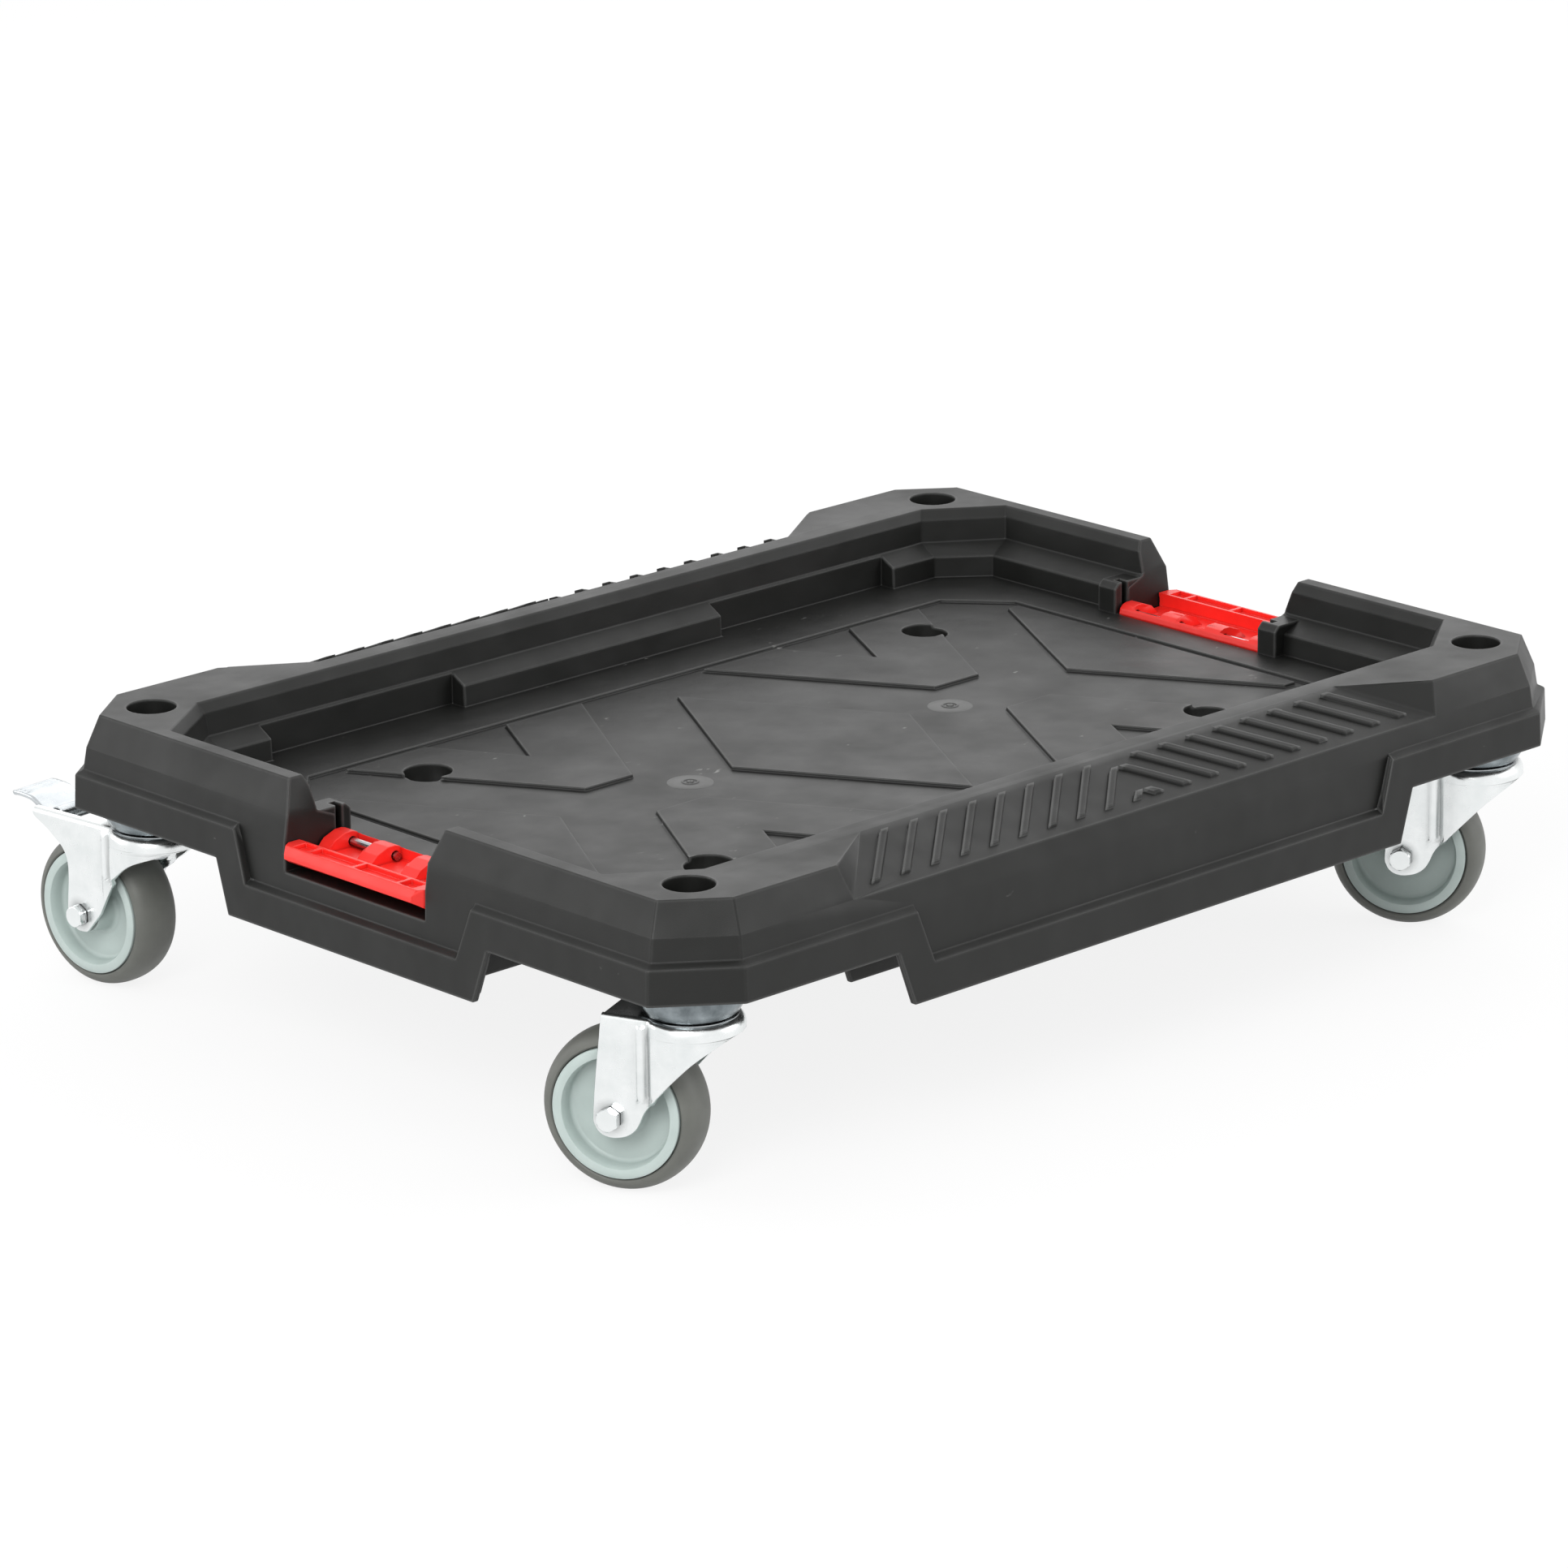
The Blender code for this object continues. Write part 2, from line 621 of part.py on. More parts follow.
def make_tray():
    foot_out = RIM_SLANT + RIM_DRAFT
    band_out = foot_out + BAND_LEDGE
    ledge_fall = (RIM_FOOT_Z - BAND_TOP_Z) / BAND_LEDGE
    deep = APRON_BOTTOM_Z - 2 * PAST
    kink = 0.0020
    kink_out = foot_out + RIM_DRAFT * kink / (RIM_SLANT_Z - RIM_FOOT_Z)
    tray = loft("tray", [
        outer_ring(kink_out + 0.0010, APRON_BOTTOM_Z + 0.008),
        outer_ring(kink_out, RIM_FOOT_Z - kink),
        outer_ring(RIM_SLANT, RIM_SLANT_Z),
        outer_ring(0, RIM_TOP_Z),
    ])
    band = loft("band", [
        outer_ring(FLARE, APRON_BOTTOM_Z),
        outer_ring(band_out, BAND_TOP_Z),
        outer_ring(foot_out - 0.001, RIM_FOOT_Z + 0.001 * ledge_fall),
    ])
    cut(band, joined("apron_gaps", apron_gaps(0, APRON_SLOT)))
    add(tray, band)
    cut(tray, joined("corner_cuts", corner_cuts()))

    hollow = loft("hollow", [
        outer_ring(kink_out + 0.0010 - WALL, deep),
        outer_ring(kink_out - WALL, RIM_FOOT_Z - kink),
        outer_ring(RIM_SLANT - WALL, RIM_SLANT_Z),
        outer_ring(-WALL * 0.8, RIM_TOP_Z - WALL),
    ])
    band_hollow = loft("band_hollow", [
        outer_ring(FLARE - WALL, deep),
        outer_ring(band_out - WALL, BAND_TOP_Z - WALL * 0.6),
        outer_ring(foot_out - WALL - 0.001, RIM_FOOT_Z - WALL * 0.6),
    ])
    cut(band_hollow, joined("apron_gaps", apron_gaps(WALL, APRON_SLOT)))
    add(hollow, band_hollow)
    cut(hollow, recess_solid(WALL, -FLOOR_UNDER_Z))
    cut(hollow, joined("block_gaps", block_gaps(WALL, -FLOOR_UNDER_Z)))
    cut(hollow, joined("gates", gates(WALL)))
    cut(hollow, joined("grips", grips(WALL)))
    for tool in corner_posts() + underside_ribs():
        cut(hollow, tool)
    cut(tray, hollow)

    cut(tray, recess_solid(0, 0))
    cut(tray, joined("block_gaps", block_gaps(0, 0)))
    cut(tray, joined("gates", gates(0)))
    cut(tray, joined("grips", grips(0)))
    cut(tray, floor_field())
    holes = []
    for sx, sy in corners():
        hole = rod("hole", [(FLOOR_HOLE_R, -FAR), (FLOOR_HOLE_R, FAR)], HOLE_SIDES)
        holes.append(moved(hole, sx * FLOOR_HOLE_X, sy * FLOOR_HOLE_Y, 0))
        access = rod("access", [(ACCESS_R, SEAT_TOP_Z), (ACCESS_R, FAR)], HOLE_SIDES)
        holes.append(moved(access, sx * CASTER_X, sy * CASTER_Y, 0))
        slot_x = PIN_R + GAP
        low = (LATCH_X - slot_x, GATE_HALF - 0.002, LATCH_AXIS_Z - slot_x)
        slot = box("slot", low, (LATCH_X + slot_x, GATE_HALF + PIN_BITE + 0.002, LEDGE_BACK_Z + 0.004))
        holes.append(mirrored(slot, sx, sy))
    cut(tray, joined("holes", holes))
    bolt_holes = []
    for sx, sy in corners():
        hole = rod("hole", [(BORE_R, -FAR), (BORE_R, FAR)], SMALL_SIDES)
        bolt_holes.append(moved(hole, sx * CASTER_X, sy * CASTER_Y, 0))
    cut(tray, joined("bolt_holes", bolt_holes))
    add(tray, joined("grip_ribs", grip_ribs()))
    return tray


def make_latch(name):
    """A latch flap about its hinge axis: X runs outward, Y along the hinge."""
    half = GATE_HALF - LATCH_SIDE_GAP
    r = LATCH_BARREL_R
    under = -r
    top = under + LATCH_PLATE
    lip_out = LATCH_LIP_IN + LATCH_LIP_FLAT
    barrel = [(r * math.cos(a), r * math.sin(a)) for a in [math.pi * (0.5 + k / 6) for k in range(7)]]
    outline = barrel + [(LATCH_LIP_IN + LATCH_UNDER_OUT, under), (LATCH_REACH, top - LATCH_EDGE_LOW)]
    outline += [(LATCH_REACH, top + LATCH_EDGE_HIGH), (lip_out, LATCH_LIP_TOP), (LATCH_LIP_IN, LATCH_LIP_TOP)]
    outline += [(LATCH_LIP_IN + LATCH_LIP_DRAFT, top), (LATCH_HUMP_FOOT, top)]
    outline += [(LATCH_HUMP_OUT, top + LATCH_HUMP_RISE), (LATCH_HUMP_FLAT, r)]
    latch = side_prism(name, outline, half)
    tools = []
    for low, high in LATCH_WINDOWS:
        tools.append(box("window", (LATCH_BACK - r, low, top), (LATCH_WINDOW_OUT, high, LATCH_CUT_TOP)))
        tools.append(box("ramp", (LATCH_RAMP_IN, low, top), (LATCH_RAMP_OUT, high, LATCH_CUT_TOP)))
    for low, high in LATCH_POCKETS:
        pocket_low = (LATCH_LIP_IN + LATCH_POCKET_BACK, low, LATCH_LIP_TOP - LATCH_POCKET_DEPTH)
        tools.append(box("pocket", pocket_low, (lip_out - LATCH_POCKET_FRONT, high, LATCH_CUT_TOP)))
    for side in (-1, 1):
        corner = [(LATCH_REACH - LATCH_CORNER, half + 0.001), (LATCH_REACH + 0.001, half - LATCH_CORNER * 0.6)]
        corner += [(LATCH_REACH + 0.01, half + 0.01)]
        tools.append(mirrored(prism("corner", corner, -0.02, 0.02), 1, side))
    tools.append(turn_to_y(rod("bore", [(PIN_R + GAP, -FAR), (PIN_R + GAP, FAR)], SMALL_SIDES)))
    for tool in tools:
        cut(latch, tool)
    return latch


def make_hex(name, flats, low, high, bore=0.0):
    """A hexagon head or nut about Z, bored when a bore is given."""
    outline = circle(flats / 2, 6)
    if not bore:
        return prism(name, outline, low, high)
    nut = prism(name, outline, low, high)
    return cut(nut, rod("bore", [(bore, low - 0.01), (bore, high + 0.01)], SMALL_SIDES))


def make_mount_bolt(name):
    head_low = SEAT_THICKNESS + GAP
    shank_low = BUSH_END - GAP - NUT_HEIGHT - 0.0025
    head = [(x, y, z) for z in (head_low, head_low + BOLT_HEAD) for x, y in circle(BOLT_FLATS / 2, 6)]
    head = loft(name, [head[:6], head[6:]])
    return add(head, rod("shank", [(BOLT_R, shank_low), (BOLT_R, head_low + 0.001)], SMALL_SIDES))


def make_cup(name):
    bottom = -CUP_HEIGHT
    hole = BUSH_R + GAP
    profile = [(hole, -GAP), (CUP_R - 0.0015, -GAP), (CUP_R, -0.0022), (CUP_R, bottom + 0.0028)]
    profile += [(CUP_R - 0.0018, bottom), (CUP_R - CUP_WALL, bottom)]
    profile += [(CUP_R - CUP_WALL, -CUP_TOP), (hole, -CUP_TOP)]
    return ring(name, profile, CUP_SIDES)


def make_balls(name):
    """The ring of balls, drawn as one string so that it stays one piece."""
    middle = -CUP_TOP - GAP - BALL_R
    sides = 2 * BALL_COUNT
    points = []
    faces = []
    count = 6
    for s in range(sides):
        angle = 2 * math.pi * s / sides
        size = BALL_R if s % 2 else BALL_R * 0.55
        for p in range(count):
            turn = 2 * math.pi * p / count
            reach = BALL_CIRCLE + size * math.cos(turn)
            points.append((reach * math.cos(angle), reach * math.sin(angle), middle + size * math.sin(turn)))
    for s in range(sides):
        t = (s + 1) % sides
        for p in range(count):
            q = (p + 1) % count
            faces.append((s * count + p, t * count + p, t * count + q, s * count + q))
    return mesh_object(name, points, faces)


def make_bush(name):
    flange_top = BUSH_END + BUSH_FLANGE
    profile = [(BORE_R, -GAP), (BUSH_R, -GAP), (BUSH_R, flange_top)]
    profile += [(BUSH_FLANGE_R, flange_top), (BUSH_FLANGE_R, BUSH_END), (BORE_R, BUSH_END)]
    return ring(name, profile, SMALL_SIDES)


def leg_outline(trail, braked):
    """Side outline of a fork leg, from the front of the crown round the axle and up the back."""
    top = CROWN_TOP
    front = -FORK_CROWN_R - 0.001
    points = [(front, top), (front, CROWN_UNDER - 0.0012), (-0.0180, CROWN_UNDER - 0.0045)]
    lead = LEAD_BRAKED if braked else LEAD_PLAIN
    points += [(trail + u, min(w - AXLE_DROP, CROWN_UNDER - 0.0050)) for u, w in lead]
    for k in range(9):
        angle = math.radians(200 + 160 * k / 8)
        points.append((trail + FORK_END_R * math.cos(angle), -AXLE_DROP + FORK_END_R * math.sin(angle)))
    if braked:
        wing_low = CROWN_TOP - WING_DEPTH
        points += [(trail + 0.0068, -AXLE_DROP + 0.0180), (trail + 0.0074, wing_low - 0.0178)]
        points += [(trail + 0.0105, wing_low - 0.0126), (trail + 0.0160, wing_low - 0.0087)]
        points += [(trail + 0.0215, wing_low - 0.0048), (WING_REAR, wing_low), (WING_REAR, top)]
    else:
        points += [(FORK_REAR, top - 0.0030), (FORK_REAR - 0.0018, top)]
    return list(reversed(points))


def fork_plan(rear, inset):
    """Plan of the fork's bent plate: round the crown in front and straight along the wheel."""
    side = FORK_OUT - inset
    crown = FORK_CROWN_R - inset
    proud = side + FORK_BEAD_PROUD
    rise = FORK_BEAD_HALF - FORK_BEAD_PROUD
    points = [(rear, side), (FORK_BEAD_U + FORK_BEAD_HALF, side), (FORK_BEAD_U + rise, proud)]
    points += [(FORK_BEAD_U - rise, proud), (FORK_BEAD_U - FORK_BEAD_HALF, side + 0.0006)]
    for k in range(8):
        angle = math.radians(66 + 114 * k / 7)
        points.append((crown * math.cos(angle), crown * math.sin(angle)))
    return points + [(x, -y) for x, y in reversed(points[:-1])]


def make_fork(name, trail, braked):
    """A fork about its swivel axis: X runs along the trail, Z from the caster seat."""
    rear = WING_REAR if braked else trail + FORK_END_R + 0.004
    outer = fork_plan(rear + 0.001, 0)
    inner = fork_plan(rear + 0.01, FORK_PLATE)
    deep = -CASTER_HEIGHT
    fork = prism(name, outer, deep, CROWN_TOP)
    cut(fork, prism("inner", inner, deep - 0.01, CROWN_UNDER))
    keep(fork, side_prism("side", leg_outline(trail, braked), FAR))
    if braked:
        cut(fork, box("saddle", (FORK_REAR, -FORK_IN, -FAR), (FAR, FORK_IN, FAR)))
    race = [(BUSH_R + 0.006, CROWN_TOP - 0.0005), (BALL_CIRCLE + BALL_R, CROWN_TOP - 0.0005)]
    race += [(BALL_CIRCLE + BALL_R, RACE_TOP), (BUSH_R + 0.006, RACE_TOP)]
    add(fork, ring("race", race, CUP_SIDES))
    cut(fork, rod("king", [(BUSH_R + GAP, -FAR), (BUSH_R + GAP, FAR)], SMALL_SIDES))
    axle = turn_to_y(rod("axle", [(AXLE_R + GAP, -FAR), (AXLE_R + GAP, FAR)], SMALL_SIDES))
    cut(fork, moved(axle, trail, 0, -AXLE_DROP))
    if braked:
        pin = turn_to_y(rod("pin", [(PEDAL_PIN_R + GAP, -FAR), (PEDAL_PIN_R + GAP, FAR)], SMALL_SIDES))
        cut(fork, moved(pin, PEDAL_PIVOT_U, 0, PEDAL_PIVOT_W))
    return fork


def make_hub(name):
    ring_in = HUB_R - HUB_RING
    half = [(HUB_R, HUB_HALF), (ring_in, HUB_HALF), (ring_in - 0.0010, HUB_WEB_HALF + 0.0015)]
    half += [(HUB_BOSS_R + 0.0025, HUB_WEB_HALF), (HUB_BOSS_R, HUB_BOSS_HALF), (SLEEVE_R + GAP, HUB_BOSS_HALF)]
    profile = half + [(r, -w) for r, w in reversed(half)]
    return turn_to_y(ring(name, profile, WHEEL_SIDES))


def make_tyre(name):
    bead = HUB_R + GAP
    wall = WHEEL_R - bead
    half = [(bead, TYRE_HALF), (bead + wall * 0.36, TYRE_HALF - 0.0003), (bead + wall * 0.72, TYRE_HALF - 0.0018)]
    half += [(bead + wall * 0.92, TYRE_HALF - 0.0046), (WHEEL_R, TYRE_HALF - 0.0088)]
    profile = half + [(r, -w) for r, w in reversed(half)]
    return turn_to_y(ring(name, profile, WHEEL_SIDES))


def make_axle_bolt(name):
    head_low = FORK_OUT + GAP
    bolt = make_hex(name, AXLE_FLATS, head_low, head_low + AXLE_HEAD)
    end = -FORK_OUT - GAP - AXLE_NUT - 0.0008
    return turn_to_y(add(bolt, rod("shank", [(AXLE_R, end), (AXLE_R, head_low + 0.001)], SMALL_SIDES)))


def make_axle_nut(name):
    high = -FORK_OUT - GAP
    return turn_to_y(make_hex(name, AXLE_FLATS, high - AXLE_NUT, high, AXLE_R + GAP))


def make_sleeve(name):
    half = FORK_IN - GAP
    bore = AXLE_R + GAP
    return turn_to_y(ring(name, [(bore, -half), (SLEEVE_R, -half), (SLEEVE_R, half), (bore, half)], SMALL_SIDES))


def thickened(line, plate):
    """Outline of a bent plate from the points of its lower face."""
    upper = []
    for i, (u, w) in enumerate(line):
        before = Vector(line[max(i - 1, 0)])
        after = Vector(line[min(i + 1, len(line) - 1)])
        along = (after - before).normalized()
        upper.append((u - along.y * plate, w + along.x * plate))
    return line + list(reversed(upper))


def make_pedal(name):
    """A brake pedal about its pivot: X runs along the trail."""
    bend = PEDAL_BEND_U - PEDAL_PIVOT_U
    step = PEDAL_STEP_U - PEDAL_PIVOT_U
    end = PEDAL_END_U - PEDAL_PIVOT_U
    line = [(0.0015, -PEDAL_PLATE / 2), (bend, 0), (step, PEDAL_RISE), (end - 0.004, PEDAL_RISE + 0.0006)]
    line += [(end, PEDAL_RISE - 0.0014)]
    pedal = side_prism(name, thickened(line, PEDAL_PLATE), PEDAL_HALF)
    knuckle = [(PEDAL_KNUCKLE_R, -PEDAL_HALF - 0.0004), (PEDAL_KNUCKLE_R, PEDAL_HALF + 0.0004)]
    add(pedal, turn_to_y(rod("knuckle", knuckle, SMALL_SIDES)))
    bore = PEDAL_PIN_R + GAP
    cut(pedal, turn_to_y(rod("bore", [(bore, -FAR), (bore, FAR)], SMALL_SIDES)))
    return pedal


def make_pedal_pin(name):
    half = FORK_OUT - GAP
    return turn_to_y(rod(name, [(PEDAL_PIN_R, -half), (PEDAL_PIN_R, half)], SMALL_SIDES))


def make_shoe(name):
    """A brake shoe over the tyre, hung from the crown, in the fork's own place."""
    inner = WHEEL_R + SHOE_GAP
    outer = inner + SHOE_PLATE
    low = []
    high = []
    for k in range(6):
        angle = math.radians(58 + 36 * k / 5)
        low.append((TRAIL_BRAKED + inner * math.cos(angle), -AXLE_DROP + inner * math.sin(angle)))
        high.append((TRAIL_BRAKED + outer * math.cos(angle), -AXLE_DROP + outer * math.sin(angle)))
    foot = CROWN_UNDER - GAP
    front_u = TRAIL_BRAKED - 0.0100
    outline = low + [(front_u, low[-1][1]), (front_u, foot), (front_u + 0.0060, foot)]
    outline += [(front_u + 0.0060, high[-1][1])] + list(reversed(high))
    return side_prism(name, outline, SHOE_HALF)


def material(name, colour, roughness, metallic):
    made = bpy.data.materials.new(name)
    made.use_nodes = True
    shader = made.node_tree.nodes["Principled BSDF"]
    shader.inputs["Base Color"].default_value = (*colour, 1.0)
    shader.inputs["Roughness"].default_value = roughness
    shader.inputs["Metallic"].default_value = metallic
    return made


LOOKS = {
    "tray_plastic": ((0.055, 0.057, 0.060), 0.50, 0.0),
    "latch_plastic": ((0.520, 0.030, 0.040), 0.40, 0.0),
    "hub_plastic": ((0.400, 0.460, 0.460), 0.50, 0.0),
    "tyre_rubber": ((0.075, 0.075, 0.070), 0.70, 0.0),
    "zinc_steel": ((0.640, 0.640, 0.650), 0.30, 1.0),
}


def finish(obj, name, look, place=None, smooth=True):
    """Names the piece, gives it its own material and sets it in its place."""
    obj.name = name
    obj.data.name = name
    bm = bmesh.new()
    bm.from_mesh(obj.data)
    bmesh.ops.remove_doubles(bm, verts=bm.verts, dist=4e-6)
    bmesh.ops.dissolve_degenerate(bm, edges=bm.edges, dist=4e-6)
    bmesh.ops.dissolve_limit(bm, angle_limit=math.radians(0.15), verts=bm.verts, edges=bm.edges)
    bmesh.ops.triangulate(bm, faces=bm.faces)
    bmesh.ops.recalc_face_normals(bm, faces=bm.faces)
    bm.to_mesh(obj.data)
    bm.free()
    colour, roughness, metallic = LOOKS[look]
    obj.data.materials.clear()
    obj.data.materials.append(material(look + "_" + name, colour, roughness, metallic))
    if smooth:
        for face in obj.data.polygons:
            face.use_smooth = True
        obj.data.set_sharp_from_angle(angle=math.radians(32))
    if place is not None:
        obj.matrix_world = place


def clear_scene():
    for obj in list(bpy.data.objects):
        bpy.data.objects.remove(obj, do_unlink=True)


def build_latches():
    for name, side in (("left", -1), ("right", 1)):
        turn = Matrix.Rotation(math.pi if side < 0 else 0.0, 4, "Z")
        place = Matrix.Translation((side * LATCH_X, 0, LATCH_AXIS_Z)) @ turn
        finish(make_latch("latch"), "latch_" + name, "latch_plastic", place)
        low = PIN_INNER
        high = GATE_HALF + PIN_BITE
        for end, way in (("a", -1), ("b", 1)):
            pin = turn_to_y(rod("pin", [(PIN_R, low), (PIN_R, high)], SMALL_SIDES))
            mirrored(pin, 1, way)
            finish(pin, "latch_pin_" + name + "_" + end, "zinc_steel", place)


def build_casters():
    for name, (sx, sy, heading, braked) in CASTERS.items():
        trail = TRAIL_BRAKED if braked else TRAIL_PLAIN
        seat = Matrix.Translation((sx * CASTER_X, sy * CASTER_Y, SEAT_Z))
        swivel = seat @ Matrix.Rotation(math.radians(heading), 4, "Z")
        axle = swivel @ Matrix.Translation((trail, 0, -AXLE_DROP))
        finish(make_mount_bolt("bolt"), "mount_bolt_" + name, "zinc_steel", seat)
        nut_top = BUSH_END - GAP
        nut = make_hex("nut", BOLT_FLATS, nut_top - NUT_HEIGHT, nut_top, BOLT_R + GAP)
        finish(nut, "mount_nut_" + name, "zinc_steel", seat)
        finish(make_cup("cup"), "cup_" + name, "zinc_steel", seat)
        finish(make_bush("bush"), "king_bush_" + name, "zinc_steel", seat)
        finish(make_balls("balls"), "ball_ring_" + name, "zinc_steel", seat)
        finish(make_fork("fork", trail, braked), "fork_" + name, "zinc_steel", swivel)
        finish(make_axle_bolt("axle"), "axle_bolt_" + name, "zinc_steel", axle)
        finish(make_axle_nut("axle_nut"), "axle_nut_" + name, "zinc_steel", axle)
        finish(make_sleeve("sleeve"), "axle_sleeve_" + name, "zinc_steel", axle)
        finish(make_hub("hub"), "hub_" + name, "hub_plastic", axle)
        finish(make_tyre("tyre"), "tyre_" + name, "tyre_rubber", axle)
        if braked:
            pivot = swivel @ Matrix.Translation((PEDAL_PIVOT_U, 0, PEDAL_PIVOT_W))
            finish(make_pedal("pedal"), "pedal_" + name, "zinc_steel", pivot)
            finish(make_pedal_pin("pedal_pin"), "pedal_pin_" + name, "zinc_steel", pivot)
            finish(make_shoe("shoe"), "brake_shoe_" + name, "zinc_steel", swivel)


clear_scene()
finish(make_tray(), "tray", "tray_plastic")
build_latches()
build_casters()
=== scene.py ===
"""Looks for the tray dolly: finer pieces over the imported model, materials, studio light and the camera."""

import json
import math

import bmesh
import bpy
import numpy as np
from mathutils import Matrix, Vector
from mathutils.bvhtree import BVHTree


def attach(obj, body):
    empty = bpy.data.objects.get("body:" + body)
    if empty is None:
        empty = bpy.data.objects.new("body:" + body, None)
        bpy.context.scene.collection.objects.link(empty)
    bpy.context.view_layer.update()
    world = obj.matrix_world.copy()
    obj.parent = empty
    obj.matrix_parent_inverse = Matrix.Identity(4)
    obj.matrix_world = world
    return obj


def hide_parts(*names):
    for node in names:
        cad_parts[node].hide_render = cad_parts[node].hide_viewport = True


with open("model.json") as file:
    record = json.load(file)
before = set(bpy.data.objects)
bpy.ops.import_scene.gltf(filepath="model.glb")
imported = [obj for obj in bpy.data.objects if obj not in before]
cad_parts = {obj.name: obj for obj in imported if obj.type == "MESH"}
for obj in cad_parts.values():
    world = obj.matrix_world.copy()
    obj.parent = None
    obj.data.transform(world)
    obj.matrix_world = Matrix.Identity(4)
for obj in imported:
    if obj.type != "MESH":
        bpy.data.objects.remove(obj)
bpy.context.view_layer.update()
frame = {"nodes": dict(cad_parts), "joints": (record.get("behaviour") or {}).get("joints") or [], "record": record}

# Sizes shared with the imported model, in metres
GROUND_Z = -0.1139
WHEEL_R = 0.0388
AXLE_DROP = 0.0630
FORK_IN = 0.0165
FORK_OUT = 0.0190
CROWN_TOP = -0.0136
CORNERS = ("front", "left", "right", "back")
BRAKED = ("left", "back")


# Materials

def nodes_of(name):
    """A new node material: its node list, its links and its shader."""
    mat = bpy.data.materials.new(name)
    mat.use_nodes = True
    tree = mat.node_tree
    return mat, tree.nodes, tree.links, tree.nodes["Principled BSDF"]


def noise(nodes, links, coord, scale, detail=4.0, rough=0.55, stretch=None):
    tex = nodes.new("ShaderNodeTexNoise")
    tex.inputs["Scale"].default_value = scale
    tex.inputs["Detail"].default_value = detail
    tex.inputs["Roughness"].default_value = rough
    if stretch:
        mapping = nodes.new("ShaderNodeMapping")
        mapping.inputs["Scale"].default_value = stretch
        links.new(coord, mapping.inputs["Vector"])
        coord = mapping.outputs["Vector"]
    links.new(coord, tex.inputs["Vector"])
    return tex.outputs["Fac"]


def ramp(nodes, links, value, stops):
    """Colour stops over a value: (position, colour) pairs."""
    node = nodes.new("ShaderNodeValToRGB")
    band = node.color_ramp
    while len(band.elements) < len(stops):
        band.elements.new(0.5)
    for element, (place, colour) in zip(band.elements, stops):
        element.position = place
        element.color = (*colour, 1.0)
    links.new(value, node.inputs["Fac"])
    return node.outputs["Color"]


def spread(nodes, links, value, low, high, from_low=0.3, from_high=0.7):
    """A value mapped into a range."""
    node = nodes.new("ShaderNodeMapRange")
    node.inputs["From Min"].default_value = from_low
    node.inputs["From Max"].default_value = from_high
    node.inputs["To Min"].default_value = low
    node.inputs["To Max"].default_value = high
    links.new(value, node.inputs["Value"])
    return node.outputs["Result"]


def bump(nodes, links, shader, height, strength, distance):
    node = nodes.new("ShaderNodeBump")
    node.inputs["Strength"].default_value = strength
    node.inputs["Distance"].default_value = distance
    links.new(height, node.inputs["Height"])
    links.new(node.outputs["Normal"], shader.inputs["Normal"])
    return node


def object_coord(nodes):
    return nodes.new("ShaderNodeTexCoord").outputs["Object"]


def mixed(nodes, links, share, low, high):
    """One colour mixed into another by a share. Each is a colour or a socket."""
    node = nodes.new("ShaderNodeMix")
    node.data_type = "RGBA"
    links.new(share, node.inputs["Factor"])
    for name, value in (("A", low), ("B", high)):
        socket = [s for s in node.inputs if s.name == name and s.type == "RGBA"][0]
        if isinstance(value, tuple):
            socket.default_value = (*value, 1.0)
        else:
            links.new(value, socket)
    return [s for s in node.outputs if s.type == "RGBA"][0]


def math_of(nodes, links, operation, first, second):
    node = nodes.new("ShaderNodeMath")
    node.operation = operation
    links.new(first, node.inputs[0])
    links.new(second, node.inputs[1])
    return node.outputs[0]


def edge_share(nodes, links, reach, gain, inside=True):
    """How near a place is to an outer edge of its own piece, or else to a hollow: 0 on a flat face."""
    node = nodes.new("ShaderNodeAmbientOcclusion")
    node.inside = inside
    node.only_local = inside
    node.samples = 6
    node.inputs["Distance"].default_value = reach
    return spread(nodes, links, node.outputs["AO"], gain, 0.0, 0.0, 1.0)


# Painted highlight: the pale tone that the tray's convex edges are lightened to, for the light they catch
PAINTED_EDGE_HIGHLIGHT = (0.095, 0.096, 0.094)
# Painted shade: the near-black tone laid into the tray's hollows and creases
PAINTED_HOLLOW_SHADE = (0.0030, 0.0031, 0.0030)
SCUFF_TONE = (0.30, 0.30, 0.29)
TRAY_DARK = (0.0074, 0.0077, 0.0069)
TRAY_PALE = (0.0102, 0.0105, 0.0096)
GRAIN_DEPTH = 0.0004


